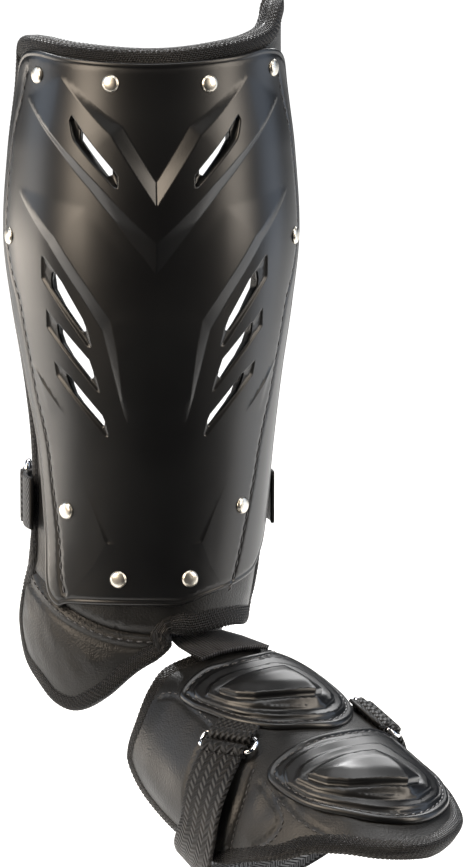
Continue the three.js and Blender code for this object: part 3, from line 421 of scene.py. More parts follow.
def moulded_sheet(name, form, outline, holes, lines, spacing, outer, inner, material, margin=0.4):
    """A sheet over a form with the given outline and holes; lines stay edges of the mesh, and outer and inner
    give the offsets of its two faces."""
    edge_lines = [outline] + holes
    row = spacing * math.sqrt(3) / 2
    low, high = outline.min(0), outline.max(0)
    grid = np.array([(x + (k % 2) * spacing / 2, y) for k, y in enumerate(np.arange(low[1] + row / 2, high[1], row))
                     for x in np.arange(low[0], high[0], spacing)])
    kept_lines = [(line, True) for line in edge_lines] + list(lines)
    clear = np.full(len(grid), 1e9)
    for line, closed in kept_lines:
        clear = np.minimum(clear, away(line, grid, closed))
    points, edges, first = [], [], 0
    for line, closed in kept_lines:
        points.append(line)
        count = len(line)
        edges += [(first + k, first + (k + 1) % count) for k in range(count if closed else count - 1)]
        first += count
    points.append(grid[clear > spacing * 0.55])
    points += [beside(line, side * margin, True) for line in edge_lines for side in (1, -1)]
    points = np.vstack(points)
    found = geometry.delaunay_2d_cdt([Vector(p) for p in points], edges, [], 0, 1e-4)
    flat = np.array([tuple(v) for v in found[0]])
    faces = np.array(found[2])
    middles = flat[faces].mean(1)
    keep = inside(outline, middles)
    for hole in holes:
        keep &= ~inside(hole, middles)
    faces = faces[keep]
    a, b, c = flat[faces[:, 0]], flat[faces[:, 1]], flat[faces[:, 2]]
    turned = (b[:, 0] - a[:, 0]) * (c[:, 1] - a[:, 1]) - (b[:, 1] - a[:, 1]) * (c[:, 0] - a[:, 0]) < 0
    faces[turned] = faces[turned][:, ::-1]
    used, back = np.unique(faces, return_inverse=True)
    faces = back.reshape(faces.shape)
    flat = flat[used]
    top = form.at(flat, outer(flat))
    bottom = form.at(flat, inner(flat))
    count = len(flat)
    normal = np.cross(top[faces[0][1]] - top[faces[0][0]], top[faces[0][2]] - top[faces[0][0]])
    if normal @ (top[faces[0][0]] - bottom[faces[0][0]]) < 0:
        faces = faces[:, ::-1]
    pairs = dict.fromkeys(pair for a, b, c in faces for pair in ((a, b), (b, c), (c, a)))
    rim = [(n, m) for (m, n) in pairs if (n, m) not in pairs]
    all_faces = [tuple(f) for f in faces] + [(f[2] + count, f[1] + count, f[0] + count) for f in faces]
    all_faces += [(m, n, n + count, m + count) for m, n in rim]
    return make_object(name, np.vstack((top, bottom)), all_faces, material, uv=np.vstack((flat, flat)))


def unit(vector):
    return vector / np.linalg.norm(vector, axis=-1, keepdims=True)


def tube_faces(rows, sides, closed, turned=False):
    """Faces of a tube made of rings of vertices; an open one has its two ends closed, and turned goes round
    each face the other way."""
    faces = []
    for i in range(rows if closed else rows - 1):
        j = (i + 1) % rows
        for k in range(sides):
            n = (k + 1) % sides
            corners = (i * sides + k, j * sides + k, j * sides + n, i * sides + n)
            faces.append(corners[:1] + corners[:0:-1] if turned else corners)
    if not closed:
        first = tuple(range(sides))
        last = tuple((rows - 1) * sides + k for k in range(sides))
        faces += [first[::-1], last] if turned else [first, last[::-1]]
    return faces


def facing_out(vertices, faces, middle):
    """The faces, all turned over where the first one looks towards the middle."""
    one = [vertices[k] for k in faces[0]]
    inwards = np.cross(one[1] - one[0], one[2] - one[0]) @ (one[0] - middle) < 0
    return [face[::-1] for face in faces] if inwards else faces


def rounded_section(width, thickness, middle, start, round_by, steps=4):
    """Rounded box round a strip: from start to start + width across, about middle outwards."""
    corners = []
    for cx, cy, first in ((1, 1, 0), (0, 1, 90), (0, 0, 180), (1, 0, 270)):
        x = start + round_by + cx * (width - 2 * round_by)
        y = middle - thickness / 2 + round_by + cy * (thickness - 2 * round_by)
        for k in range(steps + 1):
            turn = math.radians(first + 90 * k / steps)
            corners.append((x + round_by * math.cos(turn), y + round_by * math.sin(turn)))
    return corners


def linear(colour):
    """An sRGB hex colour as linear red, green, blue and alpha."""
    values = [int(colour[k:k + 2], 16) / 255 for k in (1, 3, 5)]
    return (*(v / 12.92 if v <= 0.04045 else ((v + 0.055) / 1.055) ** 2.4 for v in values), 1.0)


def add(tree, kind, settings=None, links=None):
    """One node with its settings; links gives each input a value or another node's output."""
    made = tree.nodes.new(kind)
    for key, value in (settings or {}).items():
        setattr(made, key, value)
    for key, value in (links or {}).items():
        if isinstance(value, bpy.types.NodeSocket):
            tree.links.new(value, made.inputs[key])
        else:
            made.inputs[key].default_value = value
    return made


def per_metre(millimetres):
    """Texture scale of a pattern with that size."""
    return 1000.0 / millimetres


def new_material(name, settings):
    """A material with its shader's plain values set; gives back its tree and shader."""
    material = bpy.data.materials.new(name)
    material.use_nodes = True
    tree = material.node_tree
    shader = tree.nodes["Principled BSDF"]
    for key, value in settings.items():
        shader.inputs[key].default_value = value
    return material, tree, shader


def tint(tree, factor, dark, light, low=0.0, high=1.0):
    """Colour between two hex values by a factor."""
    ramp = add(tree, "ShaderNodeValToRGB", links={"Fac": factor})
    ramp.color_ramp.elements[0].position = low
    ramp.color_ramp.elements[0].color = linear(dark)
    ramp.color_ramp.elements[1].position = high
    ramp.color_ramp.elements[1].color = linear(light)
    return ramp.outputs["Color"]


def moulded_polypropylene(light):
    """Injection moulded polypropylene from a polished tool: satin black that mirrors softly, faint flow waves."""
    material, tree, shader = new_material("moulded_polypropylene", {"IOR": 1.49, "Metallic": 0.0})
    place = add(tree, "ShaderNodeTexCoord").outputs["Object"]
    flow = add(tree, "ShaderNodeTexNoise", links={"Vector": place, "Scale": per_metre(45), "Detail": 2.0})
    skin = add(tree, "ShaderNodeTexNoise", links={"Vector": place, "Scale": per_metre(1.2), "Detail": 3.0})
    rough = add(tree, "ShaderNodeMapRange", links={"Value": flow.outputs["Fac"], "To Min": 0.29, "To Max": 0.36})
    waves = add(tree, "ShaderNodeBump", links={"Height": flow.outputs["Fac"], "Strength": 0.25, "Distance": 0.0008})
    fine = add(tree, "ShaderNodeBump", links={"Height": skin.outputs["Fac"], "Strength": 0.12, "Distance": 0.00006,
                                              "Normal": waves.outputs["Normal"]})
    tree.links.new(tint(tree, flow.outputs["Fac"], "#070708", light, 0.3, 0.8), shader.inputs["Base Color"])
    tree.links.new(rough.outputs["Result"], shader.inputs["Roughness"])
    tree.links.new(fine.outputs["Normal"], shader.inputs["Normal"])
    return material


def grained_leather(light):
    """Polyurethane leather with an embossed pebble grain: soft black with greyish sheen on its rounds."""
    material, tree, shader = new_material("grained_leather", {
        "IOR": 1.47, "Specular IOR Level": 0.4, "Sheen Weight": 0.03, "Sheen Roughness": 0.5})
    place = add(tree, "ShaderNodeTexCoord").outputs["Object"]
    # The real pebbles are 0.6 mm; drawn at 1 mm so that the picture holds them
    pebbles = add(tree, "ShaderNodeTexVoronoi", {"feature": "SMOOTH_F1"},
                  {"Vector": place, "Scale": per_metre(1.0), "Smoothness": 0.4, "Randomness": 0.9})
    creases = add(tree, "ShaderNodeTexVoronoi", {"feature": "DISTANCE_TO_EDGE"},
                  {"Vector": place, "Scale": per_metre(4.5), "Randomness": 1.0})
    wear = add(tree, "ShaderNodeTexNoise", links={"Vector": place, "Scale": per_metre(16), "Detail": 4.0})
    lines = add(tree, "ShaderNodeMapRange", {"interpolation_type": "SMOOTHSTEP"},
                {"Value": creases.outputs["Distance"], "From Max": 0.12})
    first = add(tree, "ShaderNodeBump", {"invert": True}, {"Height": pebbles.outputs["Distance"], "Strength": 0.55,
                                                           "Distance": 0.00022})
    second = add(tree, "ShaderNodeBump", links={"Height": lines.outputs["Result"], "Strength": 0.12,
                                                "Distance": 0.00015, "Normal": first.outputs["Normal"]})
    rough = add(tree, "ShaderNodeMapRange", links={"Value": wear.outputs["Fac"], "From Min": 0.3, "From Max": 0.7,
                                                   "To Min": 0.38, "To Max": 0.52})
    tree.links.new(tint(tree, wear.outputs["Fac"], "#080808", light, 0.3, 0.75), shader.inputs["Base Color"])
    tree.links.new(rough.outputs["Result"], shader.inputs["Roughness"])
    tree.links.new(second.outputs["Normal"], shader.inputs["Normal"])
    return material


def woven(name, light, pitch_along, pitch_across, turn, distance, rough, sheen):
    """Woven black polyester or nylon: two crossed sets of yarns on the piece's own surface, matt with a sheen."""
    material, tree, shader = new_material(name, {"Roughness": rough, "Sheen Weight": sheen, "Sheen Roughness": 0.4,
                                                 "IOR": 1.5, "Specular IOR Level": 0.25})
    surface = add(tree, "ShaderNodeUVMap", {"uv_map": "surface_mm"}).outputs["UV"]
    turned = add(tree, "ShaderNodeMapping", links={"Vector": surface, "Rotation": (0.0, 0.0, math.radians(turn))})
    split = add(tree, "ShaderNodeSeparateXYZ", links={"Vector": turned.outputs["Vector"]})
    waves = []
    for axis, pitch in (("X", pitch_along), ("Y", pitch_across)):
        scaled = add(tree, "ShaderNodeMath", {"operation": "MULTIPLY"},
                     {0: split.outputs[axis], 1: 2 * math.pi / pitch})
        waves.append(add(tree, "ShaderNodeMath", {"operation": "SINE"}, {0: scaled.outputs[0]}))
    crossed = add(tree, "ShaderNodeMath", {"operation": "MULTIPLY_ADD"},
                  {0: waves[0].outputs[0], 1: waves[1].outputs[0], 2: 0.5})
    lump = add(tree, "ShaderNodeBump", links={"Height": crossed.outputs[0], "Strength": 0.8, "Distance": distance})
    tree.links.new(tint(tree, crossed.outputs[0], "#020202", light, 0.5, 1.0), shader.inputs["Base Color"])
    tree.links.new(lump.outputs["Normal"], shader.inputs["Normal"])
    return material


def zigzag_elastic(light):
    """Knitted elastic: matt black band whose zigzag ribs each catch a little light."""
    material, tree, shader = new_material("zigzag_elastic", {"Roughness": 0.5, "Sheen Weight": 0.03, "IOR": 1.5,
                                                               "Specular IOR Level": 0.25})
    surface = add(tree, "ShaderNodeUVMap", {"uv_map": "surface_mm"}).outputs["UV"]
    split = add(tree, "ShaderNodeSeparateXYZ", links={"Vector": surface})
    fold = add(tree, "ShaderNodeMath", {"operation": "PINGPONG"}, {0: split.outputs["Y"], 1: 3.4})
    phase = add(tree, "ShaderNodeMath", {"operation": "MULTIPLY_ADD"},
                {0: fold.outputs[0], 1: 0.9, 2: split.outputs["X"]})
    scaled = add(tree, "ShaderNodeMath", {"operation": "MULTIPLY"}, {0: phase.outputs[0], 1: 2 * math.pi / 3.2})
    wave = add(tree, "ShaderNodeMath", {"operation": "SINE"}, {0: scaled.outputs[0]})
    lump = add(tree, "ShaderNodeBump", links={"Height": wave.outputs[0], "Strength": 0.9, "Distance": 0.0004})
    tree.links.new(tint(tree, wave.outputs[0], "#030303", light), shader.inputs["Base Color"])
    tree.links.new(lump.outputs["Normal"], shader.inputs["Normal"])
    return material


def plated(name, colour, roughness):
    """Nickel plate over brass or steel: bright mirror, slightly warm, with fine polishing haze."""
    material, tree, shader = new_material(name, {"Metallic": 1.0, "Base Color": linear(colour)})
    place = add(tree, "ShaderNodeTexCoord").outputs["Object"]
    haze = add(tree, "ShaderNodeTexNoise", links={"Vector": place, "Scale": per_metre(0.8), "Detail": 3.0})
    rough = add(tree, "ShaderNodeMapRange", links={"Value": haze.outputs["Fac"], "To Min": roughness * 0.7,
                                                   "To Max": roughness * 1.4})
    tree.links.new(rough.outputs["Result"], shader.inputs["Roughness"])
    lump = add(tree, "ShaderNodeBump", links={"Height": haze.outputs["Fac"], "Strength": 0.05, "Distance": 0.00004})
    tree.links.new(lump.outputs["Normal"], shader.inputs["Normal"])
    return material


def sewing_thread(light):
    """Bonded nylon thread: black, smooth and a little glossy, so each stitch catches a point of light."""
    material, tree, shader = new_material("bonded_nylon_thread", {"Roughness": 0.35, "IOR": 1.53})
    place = add(tree, "ShaderNodeTexCoord").outputs["Object"]
    twist = add(tree, "ShaderNodeTexNoise", links={"Vector": place, "Scale": per_metre(0.7), "Detail": 1.0})
    lump = add(tree, "ShaderNodeBump", links={"Height": twist.outputs["Fac"], "Strength": 0.3, "Distance": 0.0001})
    tree.links.new(tint(tree, twist.outputs["Fac"], "#0C0C0D", light, 0.3, 0.7), shader.inputs["Base Color"])
    tree.links.new(lump.outputs["Normal"], shader.inputs["Normal"])
    return material


MATERIALS = {}


def materials():
    """All finishes, made once."""
    if not MATERIALS:
        look = bpy.context.scene.leg_guard_finish
        tone = {key: "#" + "".join(f"{round(255 * v):02X}" for v in getattr(look, key))
                for key in ("plastic", "leather", "webbing")}
        MATERIALS.update({
            "shell": moulded_polypropylene(tone["plastic"]),
            "leather": grained_leather(tone["leather"]),
            "binding": woven("twill_binding_tape", tone["webbing"], 2.5, 1.5, 0, 0.0003, 0.36, 0.04),
            "webbing": woven("basket_weave_webbing", tone["webbing"], 3.0, 3.0, 0, 0.0004, 0.5, 0.06),
            "elastic": zigzag_elastic("#1A1A1C"),
            "mesh": woven("dotted_elastic_mesh", "#3E3E42", 2.4, 2.4, 45, 0.0006, 0.45, 0.05),
            "lining": woven("brushed_knit_lining", "#1C1C1F", 1.6, 1.6, 45, 0.0002, 0.85, 0.6),
            "rivet": plated("nickel_rivet", "#CFCABF", 0.32),
            "ring": plated("nickel_wire", "#D9D9DB", 0.10),
            "thread": sewing_thread("#3A3A3D"),
        })
    return MATERIALS


def closed_run(form, parts, step):
    """A closed outline of flat points from several runs end to end."""
    points = []
    for part in parts:
        for point in part:
            if not points or tuple(point) != tuple(points[-1]):
                points.append(point)
    if tuple(points[0]) == tuple(points[-1]):
        points.pop()
    return smooth_run(form.flat(points), True, step)


def backwards(points):
    return list(reversed(points))


def both_sides(points, form=LEG):
    """Flat points of a run on the left and of its mirror."""
    left = form.flat(points)
    return left, (left * np.array((-1, 1)))[::-1]


def slot_runs():
    """Outlines of every slot's pocket and hole, in flat points."""
    made = []
    for slot in SLOTS:
        for pocket, hole in zip(both_sides(slot["pocket"]), both_sides(slot["hole"])):
            hole = corner_run(hole, True, 0.9)
            made.append((corner_run(pocket, True, 1.1), beside(hole, -0.35 * winding(hole), True)))
    return made


GROOVE = ((-64, 0.480), (-66, 0.461), (-68, 0.424), (-72, 0.369), (-73.5, 0.313), (-74, 0.258), (-74.5, 0.194),
          (-73.5, 0.148), (-71.5, 0.105), (-67.5, 0.057), (-66, -0.007), (-65, -0.053), (-63, -0.118),
          (-60, -0.163), (-57, -0.218), (-55, -0.273), (-51, -0.347), (-47, -0.421), (-44, -0.467), (-42, -0.485))
FEATURE_LINES = ("a0 a1 a2 a3 a4", "b1 b2 b3 b4", "c0 c1 c2", "i0 i1 i2 i3")
BODY_LINES = ("d0 d1 d2 d3 f1 f2 h", "e0 e1 e2 e3 g1 g2", "m0 m1 n0 n1", "n0 n3 q1", "s0 s1 s2")


def named_line(table, names):
    return [table[name][:2] for name in names.split()]


SHELL_SEAT = 0.6
SHELL_THICKNESS = 2.6


class ShellFace:
    """Offset of the shell's outer face over the leg's form."""

    def __init__(self, size):
        self.size = size
        self.outline = closed_run(LEG, (SHELL_TOP, backwards(SHELL_RIGHT), backwards(SHELL_BOTTOM), SHELL_LEFT), 1.4)
        self.slots = slot_runs()
        self.grooves = [smooth_run(run, False, 1.2) for run in both_sides(GROOVE)]

    def __call__(self, points):
        size = self.size
        height = size.chevron_relief * 1000 * facet_heights(CHEVRON, CHEVRON_FACETS, points)
        height += size.body_relief * 1000 * facet_heights(BODY, BODY_FACETS, points)
        for groove in self.grooves:
            gap = away(groove, points, False)
            height -= 0.75 * np.exp(-(gap / 1.0) ** 2)
        for pocket, _ in self.slots:
            near = np.linalg.norm(points - pocket.mean(0), axis=1) < 40
            if near.any():
                here = points[near]
                within = inside(pocket, here)
                depth = smoothstep(away(pocket, here) / 1.3) * within
                height[near] = height[near] * (1 - depth) - 0.7 * depth
        edge = away(self.outline, points)
        rim = edge < 4.5
        height[rim] *= smoothstep((edge[rim] - 0.5) / 4.0)
        height -= 0.9 * (1 - np.clip(edge / 0.9, 0, 1)) ** 2
        height -= 0.4 * np.exp(-((edge - 2.6) / 0.45) ** 2)
        return SHELL_SEAT + SHELL_THICKNESS + height


def stitches(name, form, run, pitch, length, radius, height):
    """A row of stitches along a flat run, each a small bent bead."""
    line = evenly(run, False, pitch)
    vertices, faces = [], []
    tangent = unit(np.gradient(line, axis=0))
    sides, rings = 8, 7
    for spot, along in zip(line[:-1] + np.diff(line, axis=0) / 2, tangent[:-1]):
        t = np.linspace(-1, 1, rings)
        flat = spot + along * (t * length / 2)[:, None]
        sink = 1 - t**2
        centre = form.at(flat, height(flat) + radius * (0.9 * sink - 0.35))
        over = form.at(flat, height(flat) + 5)
        outward = unit(over - centre)
        across = np.cross(unit(np.gradient(centre, axis=0)), outward)
        thick = radius * np.sqrt(np.clip(1 - 0.93 * t**4, 0, 1))
        first = len(vertices)
        for k in range(rings):
            for s in range(sides):
                turn = 2 * math.pi * s / sides
                vertices.append(centre[k] + thick[k] * (math.cos(turn) * across[k] + math.sin(turn) * outward[k]))
        faces += [tuple(first + v for v in face) for face in tube_faces(rings, sides, False, True)]
    obj = make_object(name, np.array(vertices), faces, materials()["thread"])
    dress(obj, "binding")


def build_shell(size):
    """The shin shell with its raised V, its slots in their pockets, its stitched groove and its rim."""
    face = ShellFace(size)
    lines = []
    for table, names in ((CHEVRON, FEATURE_LINES), (BODY, BODY_LINES)):
        for run in names:
            for line in both_sides(named_line(table, run)):
                dense = corner_run(line, False, 1.3)
                lines.append((dense, False))
                side = np.sign(dense[:, 0].sum())
                for move in (0.5, -0.5):
                    moved = beside(dense, move, False)
                    lines.append((moved[moved[:, 0] * side > 0.6], False))
    crease = corner_run(LEG.flat([CHEVRON["a4"][:2], CHEVRON["i3"][:2]]), False, 1.3)
    lines += [(crease + (x, 0), False) for x in (-0.5, 0, 0.5)]
    for groove in face.grooves:
        lines += [(beside(groove, s, False), False) for s in (-1.6, -0.8, 0, 0.8, 1.6)]
    for pocket, hole in face.slots:
        lines += [(beside(pocket, d * winding(pocket), True), True) for d in (-0.4, 0, 0.5, 1.1)]
    lines += [(beside(face.outline, d * winding(face.outline), True), True) for d in (0.45, 0.9, 2.0, 2.6, 3.2)]
    holes = [hole for _, hole in face.slots]
    obj = moulded_sheet("shin_shell_moulded", LEG, face.outline, holes, lines, 1.7, face,
                        lambda flat: np.full(len(flat), SHELL_SEAT), materials()["shell"], margin=0.35)
    dress(obj, "shell", "shin_shell")
    for side, groove in zip(("left", "right"), face.grooves):
        stitches(f"shin_stitches_{side}", LEG, groove, 6.0, 4.4, 0.55, face)
    return face


def build_rivets(face):
    """Ten domed nickel rivets, each seated on the shell's face."""
    radius, spokes = 4.2, 32
    profile = [(radius, -0.6), (radius, 0.15), (radius * 0.97, 0.42), (radius * 0.90, 0.62)]
    profile += [(radius * 0.90 * math.cos(t), 0.62 + 1.0 * math.sin(t)) for t in np.linspace(0.12, 1.5, 9)]
    for n, (angle, share) in enumerate(RIVETS):
        flat = LEG.flat([(angle, share)])
        seat = LEG.at(flat, face(flat))[0]
        normal = unit(LEG.at(flat, face(flat) + 5)[0] - seat)
        side = unit(np.cross(normal, (0, 0, 1.0)))
        up = np.cross(side, normal)
        vertices = []
        for r, h in profile:
            for turn in 2 * math.pi * np.arange(spokes) / spokes:
                vertices.append(seat + normal * h + r * (math.cos(turn) * side + math.sin(turn) * up))
        faces = facing_out(vertices, tube_faces(len(profile), spokes, False, True), seat - normal * 0.6)
        obj = make_object(f"rivet_dome_{n + 1:02d}", np.array(vertices), faces, materials()["rivet"])
        dress(obj, "nickel", f"shin_rivet_{n + 1:02d}")


RIB = 2.5
RIB_LIFT = 0.42
SHIN_BINDING = 10.5
FOOT_BINDING = 9.0
STRAP_CLEARANCE = 2.4


def lined(obj):
    """Gives the sheet's inner face its lining."""
    obj.data.materials.append(materials()["lining"])
    count = len(obj.data.vertices) // 2
    for polygon in obj.data.polygons:
        if all(v >= count for v in polygon.vertices):
            polygon.material_index = 1


def folds(points, pitch, lean):
    """Soft uneven wrinkles from crossed waves."""
    x, y = points[:, 0], points[:, 1]
    a = np.sin(2 * math.pi * (x * math.cos(lean) + y * math.sin(lean)) / pitch + 1.3 * np.sin(y / (pitch * 0.9)))
    b = np.sin(2 * math.pi * (x * math.sin(lean * 1.7) - y * math.cos(lean)) / (pitch * 1.9) + 0.7)
    return a * (0.5 + 0.5 * b)


def binding_strip(name, form, run, width, thickness, middle, nodes, thin=None, wide=None):
    """Edge binding whose ribs lean across it, rounded over the edge; thin and wide change it along its run."""
    run = evenly(run, True, 0.5)
    if winding(run) < 0:
        run = run[::-1]
    corners = np.array(rounded_section(width, thickness, middle, 0.0, min(width, thickness) * 0.33, 4))
    section = evenly(np.vstack((corners, corners[:1])), True, 1.0)
    points = form.at(run, 0.0)
    outward = unit(form.at(run, 1.0) - points)
    inwards = unit(form.at(beside(run, 1.0, True), 0.0) - points)
    inwards = unit(inwards - outward * np.sum(inwards * outward, axis=1, keepdims=True))
    along, around = lengths_along(points), lengths_along(section)
    out = unit(section - section.mean(0))
    total = along[-1] + np.linalg.norm(points[0] - points[-1])
    ribs = max(round(total / RIB), 1)
    phase = 2 * math.pi * (along[:, None] * ribs / total - around[None, :] / (RIB * 1.15))
    spots = section[None] + RIB_LIFT * (np.abs(np.sin(phase / 2)) * 2 - 1.3)[..., None] * out[None]
    top = middle + thickness / 2
    spots[..., 1] = top - (top - spots[..., 1]) * (thin(run) if thin else np.ones(len(run)))[:, None]
    spots[..., 0] *= (wide(run) if wide else np.ones(len(run)))[:, None]
    rings = points[:, None] + spots[..., :1] * inwards[:, None] + spots[..., 1:] * outward[:, None]
    vertices = rings.reshape(-1, 3)
    size = len(section)
    faces = facing_out(vertices, tube_faces(len(points), size, True, True), vertices[:size].mean(0))
    uv = np.stack((phase / (2 * math.pi) * RIB, around[None, :] * 1.2 + along[:, None] * 0.6), -1).reshape(-1, 2)
    dress(make_object(name, vertices, faces, materials()["binding"], uv=uv), "binding", *nodes)


def widened(hole):
    """A slot's opening in the liner: wide enough that one sees straight back through it."""
    outwards = np.sign(hole[:, 0].mean())
    shift = 8.5 * math.tan(math.radians(abs(hole[:, 0].mean()) / LEG.degree)) + 1.0
    grown = np.vstack([hole + step for step in ((0, 1.6), (0, -1.6), (-outwards * 1.4, 0),
                                                (outwards * shift, 1.6), (outwards * shift, -1.6))])
    return corner_run(grown[geometry.convex_hull_2d([Vector(p) for p in grown])], True, 1.8)


def pad_outlines():
    shin = (PAD_TOP, backwards(PAD_RIGHT), backwards(PAD_HEM), backwards(CREASE), PAD_LEFT)
    ankle = (CREASE, backwards(ANKLE_RIGHT), backwards(ANKLE_BOTTOM), ANKLE_LEFT)
    whole = (PAD_TOP, backwards(PAD_RIGHT), backwards(PAD_HEM), backwards(ANKLE_BOTTOM), ANKLE_LEFT, PAD_LEFT)
    return [closed_run(LEG, parts, 1.6) for parts in (shin, ankle, whole)]


def wing_share(flat):
    """The liner's thickness as a share of the full one: it thins out towards the wing at the top right."""
    return 1 - 0.45 * smoothstep((flat[:, 0] / LEG.degree - 70) / 30) * smoothstep(flat[:, 1] / LEG.length / 0.4)


def hem_share(flat):
    """The binding's width as a share of the plain one: the hem over the instep is wider."""
    return 1 + 0.4 * smoothstep((-136 - flat[:, 1]) / 8) * smoothstep((flat[:, 0] - 8) / 12)


def build_pads():
    """The shin liner, the ankle wing below its crease, their binding and stitches."""
    shin_run, ankle_run, whole_run = pad_outlines()
    slots = [widened(hole) for _, hole in slot_runs()]

    def shin_outer(flat):
        edge = away(shin_run, flat)
        return -0.1 - 2.6 * (1 - smoothstep(edge / 3.0))

    def shin_inner(flat):
        edge = away(shin_run, flat)
        quilt = 0.9 * np.abs(np.sin(math.pi * flat[:, 0] / 26) * np.sin(math.pi * flat[:, 1] / 34)) ** 0.5
        return (-PAD_THICKNESS + 0.9 - quilt + 2.0 * (1 - smoothstep(edge / 3.0))) * wing_share(flat)

    shin = moulded_sheet("shin_pad_sewn", LEG, shin_run, slots, [(beside(shin_run, -3, True), True)], 2.6,
                         shin_outer, shin_inner, materials()["leather"])
    lined(shin)
    dress(shin, "leather", "shin_pad")

    crease = smooth_run(LEG.flat(CREASE), False, 1.5)

    def ankle_outer(flat):
        edge = away(ankle_run, flat)
        fold = away(crease, flat, False)
        puff = 1.3 * smoothstep((edge - 4) / 16)
        wrinkle = 0.28 * folds(flat, 14, 0.5) * smoothstep((edge - 6) / 10) * (1 - 0.6 * smoothstep(fold / 40))
        return -0.1 - 2.4 * (1 - smoothstep(edge / 3.0)) + puff + wrinkle - 1.2 * np.exp(-((fold - 7) / 1.1) ** 2)

    def ankle_inner(flat):
        return -PAD_THICKNESS + 1.5 * (1 - smoothstep(away(ankle_run, flat) / 3.0))

    ankle = moulded_sheet("ankle_pad_sewn", LEG, ankle_run, [], [(beside(ankle_run, -3, True), True)], 1.5,
                          ankle_outer, ankle_inner, materials()["leather"])
    lined(ankle)
    dress(ankle, "leather", "ankle_pad")
    band = beside(crease, -3.5, False)
    stitches("ankle_crease_stitches", LEG, band, 5.0, 3.4, 0.5, ankle_outer)
    binding_strip("shin_binding_tape", LEG, whole_run, 9.0, SHIN_BINDING, -PAD_THICKNESS / 2, ("shin_binding",),
                  thin=wing_share, wide=hem_share)
    return shin


FOOT_PAD_THICKNESS = 7.0


def build_foot():
    """The foot part's leather with its panels and folds, and its binding."""
    run = closed_run(FOOT, (FOOT_TOE[::-1], FOOT_MEDIAL[::-1], FOOT_REAR, FOOT_LATERAL), 1.6)
    seams = [smooth_run(FOOT.flat(points), False, 1.5) for points in (
        ((-97, 0.369), (-80, 0.33), (-57, 0.280), (-46, 0.262), (-45, 0.15), (-47, 0.055), (-53, 0.015)),
        ((-95, 0.555), (-69, 0.530), (-45, 0.455)),
        ((-77, 0.640), (-66, 0.668), (-56, 0.660), (-51, 0.60), (-48, 0.52)),
        ((-45, 0.60), (-47, 0.70), (-44, 0.80)))]

    def outer(flat):
        edge = away(run, flat)
        dip = sum(0.9 * np.exp(-(away(seam, flat, False) / 1.1) ** 2) for seam in seams)
        puff = 1.5 * smoothstep((edge - 4) / 18)
        crumple = 0.25 + 0.75 * smoothstep((flat[:, 1] / FOOT.length - 0.4) / 0.2)
        wrinkle = 0.35 * folds(flat, 17, 1.1) * smoothstep((edge - 5) / 12) * crumple
        return -0.1 - 2.2 * (1 - smoothstep(edge / 3.0)) + puff + wrinkle - dip

    def inner(flat):
        return -FOOT_PAD_THICKNESS + 1.5 * (1 - smoothstep(away(run, flat) / 3.0))

    pad = moulded_sheet("foot_pad_sewn", FOOT, run, [], [(beside(run, -3, True), True)] + [(s, False) for s in seams],
                        1.5, outer, inner, materials()["leather"])
    lined(pad)
    dress(pad, "leather", "foot_pad")
    for n, seam in enumerate(seams):
        stitches(f"foot_stitches_{n + 1}", FOOT, beside(seam, 2.4, False), 4.0, 2.9, 0.4, outer)
    binding_strip("foot_binding_tape", FOOT, run, 8.0, FOOT_BINDING, -FOOT_PAD_THICKNESS / 2, ("foot_binding",))


CAP_SEAT = 0.9
CAP_RIM = 3.0


def plane(a, b, c):
    """Height of the plane through three points, over flat points."""
    across = np.linalg.solve(np.array([(x, y, 1.0) for x, y, _ in (a, b, c)]), np.array((a[2], b[2], c[2])))
    return lambda flat: flat[:, 0] * across[0] + flat[:, 1] * across[1] + across[2]


def between(outer, inner, share):
    """A closed line between two others, seen from the middle of the inner one."""
    middle = inner.mean(0)
    turns = np.arctan2(inner[:, 1] - middle[1], inner[:, 0] - middle[0])
    order = np.argsort(turns)
    spokes = outer - middle
    reach = np.linalg.norm(spokes, axis=1)
    near = np.interp(np.arctan2(spokes[:, 1], spokes[:, 0]), turns[order],
                     np.linalg.norm(inner - middle, axis=1)[order], period=2 * math.pi)
    return middle + spokes * ((near + share * (reach - near)) / reach)[:, None]


